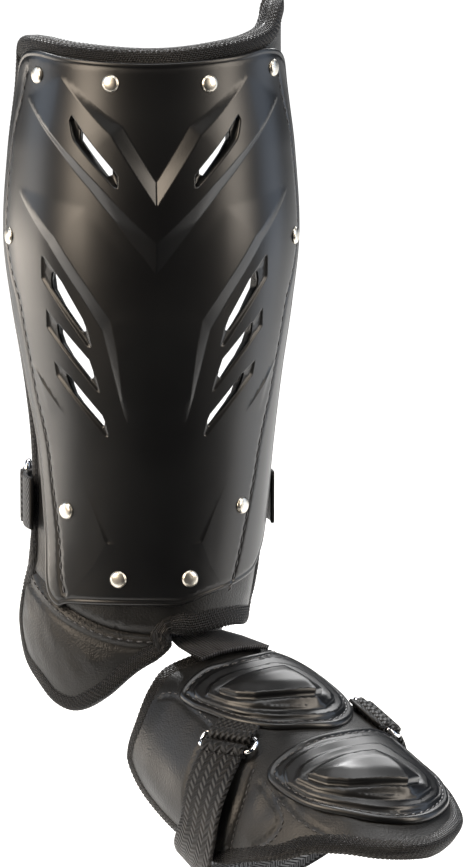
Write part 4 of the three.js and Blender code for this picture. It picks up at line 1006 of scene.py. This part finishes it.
def build_cap(name, shape, height):
    """A moulded instep cap: rim, stitched groove, step and a roofed table with a dark undercut before it."""
    outline = closed_run(FOOT, (shape["top"], backwards(shape["bottom"])), 1.2)
    table = corner_run(FOOT.flat(shape["table"]), True, 1.0)
    tip, crest_top, crest_foot, right = [(*FOOT.flat([p[:2]])[0], height + p[2]) for p in shape["peaks"]]
    ridge = corner_run(np.array((crest_top[:2], crest_foot[:2])), False, 1.0)
    left_face, right_face = plane(tip, crest_top, crest_foot), plane(crest_top, crest_foot, right)

    rings = [between(outline, table, share) for share in (0.66, 0.36)]

    def face(flat):
        edge, to_table = away(outline, flat), away(table, flat)
        on_table = inside(table, flat)
        rounding = 1.8 * (1 - np.clip(edge / 1.8, 0, 1)) ** 2
        low = CAP_SEAT + CAP_RIM - rounding - 0.9 * np.exp(-((edge - 4.0) / 0.7) ** 2)
        for ring in rings:
            low = low + 1.15 * inside(ring, flat) * smoothstep(away(ring, flat) / 1.0)
        roof = np.minimum(left_face(flat), right_face(flat))
        foot = np.maximum(roof - 2.4, low)
        low = low + (foot - low) * smoothstep(1 - to_table / 5.0) - 1.1 * np.exp(-(to_table / 0.8) ** 2)
        top = roof + 1.3 * smoothstep(to_table / 9.0)
        return np.where(on_table, low + (top - low) * smoothstep(to_table / 0.9), low)

    lines = [(beside(outline, d * winding(outline), True), True) for d in (0.4, 0.9, 1.8, 3.1, 4.0, 4.9)]
    lines += [(beside(table, d * winding(table), True), True) for d in (-0.8, 0, 0.45, 0.9)]
    lines += [(beside(ring, d * winding(ring), True), True) for ring in rings for d in (0, 0.5, 1.0)]
    lines += [(ridge, False)]
    obj = moulded_sheet(f"{name}_moulded", FOOT, outline, [], lines, 1.2, face,
                        lambda flat: np.full(len(flat), CAP_SEAT), materials()["shell"], margin=0.35)
    dress(obj, "shell", name)
    groove = beside(outline, 4.0 * winding(outline), True)
    stitches(f"{name}_stitches", FOOT, np.vstack((groove, groove[:1])), 4.6, 3.4, 0.5, face)


WEBBING = 2.0
RING_WIRE = 2.6
RING_DEPTH = 11.0
RING_SPARE = 2.0
EYE_RADIUS = RING_WIRE / 2 + 0.3
EYE_MIDDLE = EYE_RADIUS + WEBBING / 2


def band(name, middle, outward, sideways, width, key, nodes):
    """A flat strap through middle places, with soft edges and closed ends."""
    corners = np.array(rounded_section(width, WEBBING, 0.0, -width / 2, WEBBING * 0.42, 3))
    section = []
    for a, b in zip(corners, np.roll(corners, -1, 0)):
        parts = max(int(np.linalg.norm(b - a) / 2.0), 1)
        section += [a + (b - a) * t for t in np.linspace(0, 1, parts, endpoint=False)]
    section = np.array(section)
    rings = middle[:, None] + section[None, :, :1] * sideways[:, None] + section[None, :, 1:] * outward[:, None]
    vertices = rings.reshape(-1, 3)
    faces = facing_out(vertices, tube_faces(len(middle), len(section), False), rings[0].mean(0))
    uv = [(u, v) for u in lengths_along(middle) for v in lengths_along(section)]
    dress(make_object(name, vertices, faces, materials()[key], uv=uv), "webbing", *nodes)


def wire_ring(name, middle, forwards, axis, depth, height, nodes):
    """A closed rounded ring of nickel wire."""
    outward = np.cross(forwards, axis)
    corner = RING_WIRE * 1.2
    path, radial = [], []
    for x, y, start in ((1, 1, 0), (-1, 1, 90), (-1, -1, 180), (1, -1, 270)):
        for angle in np.linspace(0, 90, 7):
            turn = math.radians(start + angle)
            out = np.array((math.cos(turn), math.sin(turn)))
            spot = np.array((x * ((depth - RING_WIRE) / 2 - corner), y * ((height - RING_WIRE) / 2 - corner)))
            path.append(spot + corner * out)
            radial.append(out)
    sides = 14
    vertices = []
    for spot, out in zip(path, radial):
        for k in range(sides):
            turn = 2 * math.pi * k / sides
            flat = spot + out * math.cos(turn) * RING_WIRE / 2
            vertices.append(middle + forwards * flat[0] + axis * flat[1]
                            + outward * math.sin(turn) * RING_WIRE / 2)
    faces = facing_out(vertices, tube_faces(len(path), sides, True), np.mean(vertices[:sides], axis=0))
    dress(make_object(name, np.array(vertices), faces, materials()["ring"]), "nickel", *nodes)


def run_on(form, points, offset, count):
    """Middle, outward, sideways and along of a strap on a form."""
    flat = form.flat(points)
    line = smooth_run(flat, False, max(np.linalg.norm(np.diff(flat, axis=0), axis=1).sum() / count, 0.5))
    middle = form.at(line, offset)
    outward = unit(form.at(line, offset + 1.0) - middle)
    along = unit(np.gradient(middle, axis=0))
    sideways = unit(np.cross(along, outward))
    return middle, outward, sideways, along


def tab_and_ring(name, form, points, offset, width, key):
    """A tab of webbing sewn to the binding, turned round the ring's bar and back on itself."""
    middle, outward, sideways, along = run_on(form, points, offset, 16)
    hole = middle[-1] + along[-1] * EYE_MIDDLE
    band(f"{name}_tab_webbing", middle, outward, sideways, width, key, (f"{name}_tab",))
    ring_loop(f"{name}_tab_fold", hole, along[-1], outward[-1], sideways[-1], width, key)
    span = RING_DEPTH - RING_WIRE
    wire_ring(f"{name}_ring_wire", hole + along[-1] * span / 2, along[-1], sideways[-1], RING_DEPTH,
              width + 2 * RING_SPARE + 2 * RING_WIRE, (f"{name}_ring",))
    return hole + along[-1] * span, along[-1], outward[-1], sideways[-1]


def ring_loop(name, hole, along, outward, sideways, width, key):
    """The fold of webbing round a ring's bar."""
    angles = np.radians(np.linspace(0, 360, 25))[:-1]
    radial = np.array([along * math.cos(t) + outward * math.sin(t) for t in angles])
    inner = hole + radial * EYE_RADIUS
    outer = hole + radial * (EYE_RADIUS + WEBBING)
    half = width / 2
    vertices, faces, uv = [], [], []
    steps = np.linspace(-half, half, 14)
    for s in steps:
        pull = 0.25 if abs(abs(s) - half) < 1e-6 else 0.0
        for k in range(24):
            vertices += [inner[k] + sideways * s + radial[k] * pull, outer[k] + sideways * s - radial[k] * pull]
            uv += [(k / 24 * 16, s), (k / 24 * 16, s)]
    for i in range(len(steps) - 1):
        for k in range(24):
            n = (k + 1) % 24
            a, b = (i * 24 + k) * 2, (i * 24 + n) * 2
            c, d = ((i + 1) * 24 + n) * 2, ((i + 1) * 24 + k) * 2
            faces += [(a, b, c, d), (a + 1, d + 1, c + 1, b + 1)]
    last = (len(steps) - 1) * 24
    for k in range(24):
        n = (k + 1) % 24
        faces.append((k * 2, k * 2 + 1, n * 2 + 1, n * 2))
        faces.append(((last + k) * 2, (last + n) * 2, (last + n) * 2 + 1, (last + k) * 2 + 1))
    one = [vertices[k] for k in faces[1]]
    if np.cross(one[1] - one[0], one[2] - one[0]) @ radial[0] < 0:
        faces = [face[::-1] for face in faces]
    dress(make_object(name, np.array(vertices), faces, materials()[key], uv=uv), "webbing")


CALF_HEIGHT = -86.0
CALF_DEPTH = 52.0
CALF_WIDTH = 26.0
SOLE_WIDTH = 28.0
SOLE_TAB_WIDTH = 22.4
STRAP_PLACES = 120
SOLE_PLACES = 170


def smooth_course(points, count):
    """Even places on a smooth curve through points in space."""
    return spaced(smooth_line(points, False, 30), count)


def build_calf_strap():
    """The calf strap: a tab and ring at each side and the webbing round behind."""
    share = CALF_HEIGHT / SHELL_HEIGHT
    offset = (SHIN_BINDING - PAD_THICKNESS) / 2 + STRAP_CLEARANCE + WEBBING / 2
    left = tab_and_ring("calf_left", LEG, ((-72, share), (-100, share)), offset, CALF_WIDTH, "webbing")
    right = tab_and_ring("calf_right", LEG, ((86, share), (110, share)), offset, CALF_WIDTH, "webbing")
    start = left[0] + left[1] * EYE_MIDDLE
    end = right[0] + right[1] * EYE_MIDDLE
    middle = smooth_course((start, start + left[1] * 0.3 * CALF_DEPTH,
                        (-0.45 * LEG_HALF_WIDTH, start[1] + 0.82 * CALF_DEPTH, CALF_HEIGHT),
                        (0, start[1] + CALF_DEPTH, CALF_HEIGHT),
                        (0.45 * LEG_HALF_WIDTH, start[1] + 0.82 * CALF_DEPTH, CALF_HEIGHT),
                        end + right[1] * 0.3 * CALF_DEPTH, end), STRAP_PLACES)
    along = unit(np.gradient(middle, axis=0))
    up = np.tile((0.0, 0.0, 1.0), (STRAP_PLACES, 1))
    outward = unit(np.cross(up, along))
    band("calf_strap_webbing", middle, outward, up, CALF_WIDTH, "elastic", ("calf_strap",))
    for side, (hole, forwards, out, across) in (("left", left), ("right", right)):
        ring_loop(f"calf_strap_fold_{side}", hole, forwards, out, across, CALF_WIDTH, "elastic")


def build_sole_strap():
    """The strap that passes under the foot, with its tabs and rings."""
    offset = (FOOT_BINDING - FOOT_PAD_THICKNESS) / 2 + STRAP_CLEARANCE + WEBBING / 2

    def along_at(angle):
        return float(column(SOLE_STRAP_COLUMNS, SOLE_STRAP_RUN, "along", angle))

    left = tab_and_ring("sole_left", ROUND_FOOT, ((-33, along_at(-33)), (-38, along_at(-38))), offset,
                        SOLE_TAB_WIDTH, "webbing")
    right = tab_and_ring("sole_right", ROUND_FOOT, ((-329, along_at(-329)), (-324, along_at(-324))), offset,
                         SOLE_TAB_WIDTH, "webbing")
    points = [(-60 - 243 * t, along_at(-60 - 243 * t)) for t in np.linspace(0, 1, 29)]
    middle, outward, sideways, along = run_on(ROUND_FOOT, points, offset + 1.5, 150)
    start = left[0] + left[1] * EYE_MIDDLE
    end = right[0] + right[1] * EYE_MIDDLE
    middle = smooth_course(np.vstack((start, middle[::6], middle[-1:], end)), SOLE_PLACES)
    ease = np.linspace(0, 1, SOLE_PLACES)
    spots = np.linspace(0, 1, len(outward))
    outward = np.stack([np.interp(ease, spots, outward[:, k]) for k in range(3)], -1)
    blend_in = smoothstep(1 - ease / 0.06)[:, None]
    blend_out = smoothstep((ease - 0.94) / 0.06)[:, None]
    outward = unit(outward * (1 - blend_in - blend_out) + left[2] * blend_in + right[2] * blend_out)
    along = unit(np.gradient(middle, axis=0))
    sideways = unit(np.cross(along, outward))
    outward = unit(np.cross(sideways, along))
    wide = SOLE_TAB_WIDTH + (SOLE_WIDTH - SOLE_TAB_WIDTH) * smoothstep(np.minimum(ease, 1 - ease) / 0.07)
    band("sole_strap_elastic", middle, outward, sideways * (wide / SOLE_WIDTH)[:, None], SOLE_WIDTH, "elastic",
         ("sole_strap",))
    for side, (hole, forwards, out, across) in (("left", left), ("right", right)):
        ring_loop(f"sole_strap_fold_{side}", hole, forwards, out, across, SOLE_TAB_WIDTH, "elastic")


TONGUE_TOP = ((12, -0.47), (46, -0.47), (82, -0.47))
TONGUE_MIDDLE = ((12, -0.572), (46, -0.566), (82, -0.576))
TONGUE_BELOW = ((15, -0.583), (48, -0.577), (85, -0.588))
TONGUE_FOOT = ((-24, 0.010), (-6, 0.015), (13, 0.022))


def build_tongue():
    """The dotted elastic mesh that joins the shin part to the foot part behind the hem."""
    behind = -(PAD_THICKNESS + SHIN_BINDING) / 2 - STRAP_CLEARANCE
    over = (FOOT_BINDING - FOOT_PAD_THICKNESS) / 2 + STRAP_CLEARANCE
    thick = 2.5
    below = -thick / 2
    runs = [smooth_run(form.flat(points), False, 0.5) for form, points in
            ((FOOT, TONGUE_FOOT), (LEG, TONGUE_BELOW), (LEG, TONGUE_MIDDLE), (LEG, TONGUE_TOP))]
    columns, steps = 49, 73
    picked = [run[np.linspace(0, len(run) - 1, columns).astype(int)] for run in runs]
    rows = []
    for side in (1, 0):
        stops = [FOOT.at(picked[0], over + side * thick), LEG.at(picked[1], below + (side - 1) * thick),
                 LEG.at(picked[2], behind + (side - 1) * thick), LEG.at(picked[3], behind + (side - 1) * thick)]
        rows.append(np.array([stops[min(int(t), 2)] + (stops[min(int(t), 2) + 1] - stops[min(int(t), 2)])
                              * (t - min(int(t), 2)) for t in np.linspace(0, 3, steps)]))
    count = columns * steps
    vertices = np.vstack([side.reshape(-1, 3) for side in rows])
    faces = []
    for j in range(steps - 1):
        for i in range(columns - 1):
            a, b, c, d = j * columns + i, j * columns + i + 1, (j + 1) * columns + i + 1, (j + 1) * columns + i
            faces += [(a, b, c, d), (a + count, d + count, c + count, b + count)]
    edge = [(i, i + 1) for i in range(columns - 1)]
    edge += [((j + 1) * columns - 1, (j + 2) * columns - 1) for j in range(steps - 1)]
    edge += [((steps - 1) * columns + i + 1, (steps - 1) * columns + i) for i in reversed(range(columns - 1))]
    edge += [((j + 1) * columns, j * columns) for j in reversed(range(steps - 1))]
    faces += [(b, a, a + count, b + count) for a, b in edge]
    one = vertices[list(faces[0])]
    if np.cross(one[1] - one[0], one[2] - one[0]) @ (rows[0][0, 0] - rows[1][0, 0]) < 0:
        faces = [face[::-1] for face in faces]
    width = np.linalg.norm(np.diff(rows[0][steps // 2], axis=0), axis=1).sum()
    length = np.linalg.norm(np.diff(rows[0][:, columns // 2], axis=0), axis=1).sum()
    u = np.linspace(0, width, columns)
    v = np.linspace(0, length, steps)
    uv = np.stack(np.meshgrid(u, v), -1).reshape(-1, 2)
    obj = make_object("ankle_tongue_mesh", vertices, faces, materials()["mesh"], uv=np.vstack((uv, uv)))
    dress(obj, "elastic", "ankle_tongue")
    return obj, width, length


class LegGuardSize(bpy.types.PropertyGroup):
    """Sizes of the leg guard that a user would change."""

    chevron_relief: bpy.props.FloatProperty(
        name="Chevron relief", description="Height of the raised V on the shell", default=0.0032,
        unit="LENGTH", subtype="DISTANCE")
    body_relief: bpy.props.FloatProperty(
        name="Body relief", description="Height of the middle of the shell over its sides", default=0.0017,
        unit="LENGTH", subtype="DISTANCE")
    cap_height: bpy.props.FloatProperty(
        name="Cap height", description="Height of the instep caps over the foot part", default=0.0125,
        unit="LENGTH", subtype="DISTANCE")


class LegGuardFinish(bpy.types.PropertyGroup):
    """Colours of the leg guard that a user would change."""

    plastic: bpy.props.FloatVectorProperty(
        name="Moulded plastic", description="Colour of the shell and caps", subtype="COLOR_GAMMA", size=3,
        min=0.0, max=1.0, default=(0.052, 0.056, 0.060))
    leather: bpy.props.FloatVectorProperty(
        name="Leather", description="Colour of the grained leather", subtype="COLOR_GAMMA", size=3,
        min=0.0, max=1.0, default=(0.072, 0.071, 0.070))
    webbing: bpy.props.FloatVectorProperty(
        name="Webbing and binding", description="Colour of all woven parts", subtype="COLOR_GAMMA", size=3,
        min=0.0, max=1.0, default=(0.12, 0.12, 0.13))


class LEGGUARD_OT_shell(bpy.types.Operator):
    """Makes the shin shell with its rivets and stitches"""

    bl_idname = "legguard.shell"
    bl_label = "Shin shell"

    def execute(self, context):
        build_rivets(build_shell(context.scene.leg_guard_size))
        return {"FINISHED"}


class LEGGUARD_OT_pads(bpy.types.Operator):
    """Makes the shin liner, the ankle wing and their binding"""

    bl_idname = "legguard.pads"
    bl_label = "Liner and ankle wing"

    def execute(self, context):
        build_pads()
        return {"FINISHED"}


class LEGGUARD_OT_foot(bpy.types.Operator):
    """Makes the foot part's leather and binding"""

    bl_idname = "legguard.foot"
    bl_label = "Foot part"

    def execute(self, context):
        build_foot()
        return {"FINISHED"}


class LEGGUARD_OT_caps(bpy.types.Operator):
    """Makes the two instep caps"""

    bl_idname = "legguard.caps"
    bl_label = "Instep caps"

    def execute(self, context):
        for name, shape in CAPS.items():
            build_cap(name, shape, context.scene.leg_guard_size.cap_height * 1000)
        return {"FINISHED"}


class LEGGUARD_OT_straps(bpy.types.Operator):
    """Makes the calf strap and the sole strap with their tabs and rings"""

    bl_idname = "legguard.straps"
    bl_label = "Straps and rings"

    def execute(self, context):
        build_calf_strap()
        build_sole_strap()
        return {"FINISHED"}


class LEGGUARD_OT_tongue(bpy.types.Operator):
    """Makes the elastic mesh between the shin part and the foot part"""

    bl_idname = "legguard.tongue"
    bl_label = "Ankle tongue"

    def execute(self, context):
        obj, width, length = build_tongue()
        return {"FINISHED"}


def aim(obj, target):
    """Turns a light or the camera to a point."""
    obj.rotation_euler = (Vector(target) - obj.location).to_track_quat("-Z", "Y").to_euler()


def soft_light(name, place, target, size, power, colour="#FFFFFF"):
    """A rectangular soft box."""
    light = bpy.data.lights.new(name, "AREA")
    light.shape = "RECTANGLE"
    light.size, light.size_y = size
    light.energy = power
    light.color = linear(colour)[:3]
    obj = bpy.data.objects.new(name, light)
    obj.location = place
    bpy.context.scene.collection.objects.link(obj)
    aim(obj, target)
    return obj


class LEGGUARD_OT_stage(bpy.types.Operator):
    """Makes the floor, the lights and the camera"""

    bl_idname = "legguard.stage"
    bl_label = "Stage"

    def execute(self, context):
        scene = context.scene
        # The floor ends just before the toe, because a bright floor before the shell would grey its gloss
        floor, reach, front = CAD_BOX[0][2] - 0.001, 18.0, -0.17
        vertices = [(x, y, floor) for x, y in ((-reach, front), (reach, front), (reach, reach), (-reach, reach))]
        faces = [(0, 1, 2, 3)]
        paper, tree, shader = new_material("studio_paper", {"Roughness": 0.9, "Base Color": linear("#F4F4F3")})
        grain = add(tree, "ShaderNodeTexNoise", links={"Scale": 300.0})
        lump = add(tree, "ShaderNodeBump", links={"Height": grain.outputs["Fac"], "Strength": 0.02})
        tree.links.new(lump.outputs["Normal"], shader.inputs["Normal"])
        mesh = bpy.data.meshes.new("ground")
        mesh.from_pydata(vertices, [], faces)
        mesh.materials.append(paper)
        ground = bpy.data.objects.new("ground", mesh)
        scene.collection.objects.link(ground)
        world = bpy.data.worlds.new("studio")
        world.use_nodes = True
        sky = world.node_tree.nodes["Background"]
        sky.inputs["Color"].default_value = linear("#74879E")
        sky.inputs["Strength"].default_value = 0.08
        scene.world = world
        soft_light("side_left", (-0.90, -0.80, 0.62), (0.0, 0.05, 0.10), (0.50, 1.3), 27, "#F8E6D0")
        soft_light("edge_left", (-1.15, 0.10, 0.60), (0.0, 0.05, 0.10), (0.6, 1.1), 6.5, "#CDDBED")
        soft_light("low_left", (-1.15, 0.30, -0.12), (0.0, 0.0, -0.24), (0.9, 0.26), 7, "#F6EADB")
        soft_light("side_right", (1.00, -0.62, 0.55), (0.02, 0.05, 0.10), (0.40, 1.2), 16, "#F6EADB")
        soft_light("edge_right", (1.15, 0.12, 0.30), (0.02, 0.05, -0.05), (0.5, 1.4), 4.5, "#C8D8EE")
        soft_light("top", (0.1, -0.35, 1.5), (0.03, 0.0, -0.05), (0.9, 0.7), 10)
        soft_light("cap_glow", (0.39, 1.03, 0.76), (0.05, -0.05, -0.22), (0.7, 0.5), 7)
        high = bpy.data.objects.new("high_key", bpy.data.lights.new("high_key", "SUN"))
        high.data.energy = 4.6
        high.data.angle = math.radians(14)
        high.location = (-0.09, 0.47, 0.88)
        scene.collection.objects.link(high)
        aim(high, (0.0, 0.0, 0.0))
        camera = bpy.data.objects.new("camera", bpy.data.cameras.new("camera"))
        target = Vector((0.0386, 0.020, -0.0505))
        turn, rise = math.radians(3.7), math.radians(8)
        camera.location = target + 2.0 * Vector((-math.sin(turn) * math.cos(rise), -math.cos(turn) * math.cos(rise),
                                                 math.sin(rise)))
        camera.data.lens = 170.2
        camera.data.clip_end = 20
        aim(camera, target)
        scene.collection.objects.link(camera)
        scene.camera = camera
        scene.view_settings.view_transform = "Standard"
        return {"FINISHED"}


class LEGGUARD_PT_panel(bpy.types.Panel):
    """Lists the leg guard's pieces and its sizes"""

    bl_label = "Batting leg guard"
    bl_idname = "LEGGUARD_PT_panel"
    bl_space_type = "VIEW_3D"
    bl_region_type = "UI"
    bl_category = "Leg Guard"

    def draw(self, context):
        for name in ("chevron_relief", "body_relief", "cap_height"):
            self.layout.prop(context.scene.leg_guard_size, name)
        for name in ("plastic", "leather", "webbing"):
            self.layout.prop(context.scene.leg_guard_finish, name)
        for operator in OPERATORS:
            self.layout.operator(operator.bl_idname)


OPERATORS = (LEGGUARD_OT_shell, LEGGUARD_OT_pads, LEGGUARD_OT_foot, LEGGUARD_OT_caps, LEGGUARD_OT_straps,
             LEGGUARD_OT_tongue, LEGGUARD_OT_stage)
CLASSES = (LegGuardSize, LegGuardFinish, *OPERATORS, LEGGUARD_PT_panel)


def register():
    for item in CLASSES:
        bpy.utils.register_class(item)
    bpy.types.Scene.leg_guard_size = bpy.props.PointerProperty(type=LegGuardSize)
    bpy.types.Scene.leg_guard_finish = bpy.props.PointerProperty(type=LegGuardFinish)


def unregister():
    del bpy.types.Scene.leg_guard_finish
    del bpy.types.Scene.leg_guard_size
    for item in reversed(CLASSES):
        bpy.utils.unregister_class(item)


def main():
    register()
    for operator in OPERATORS:
        group, name = operator.bl_idname.split(".")
        getattr(getattr(bpy.ops, group), name)()


if __name__ == "__main__":
    main()
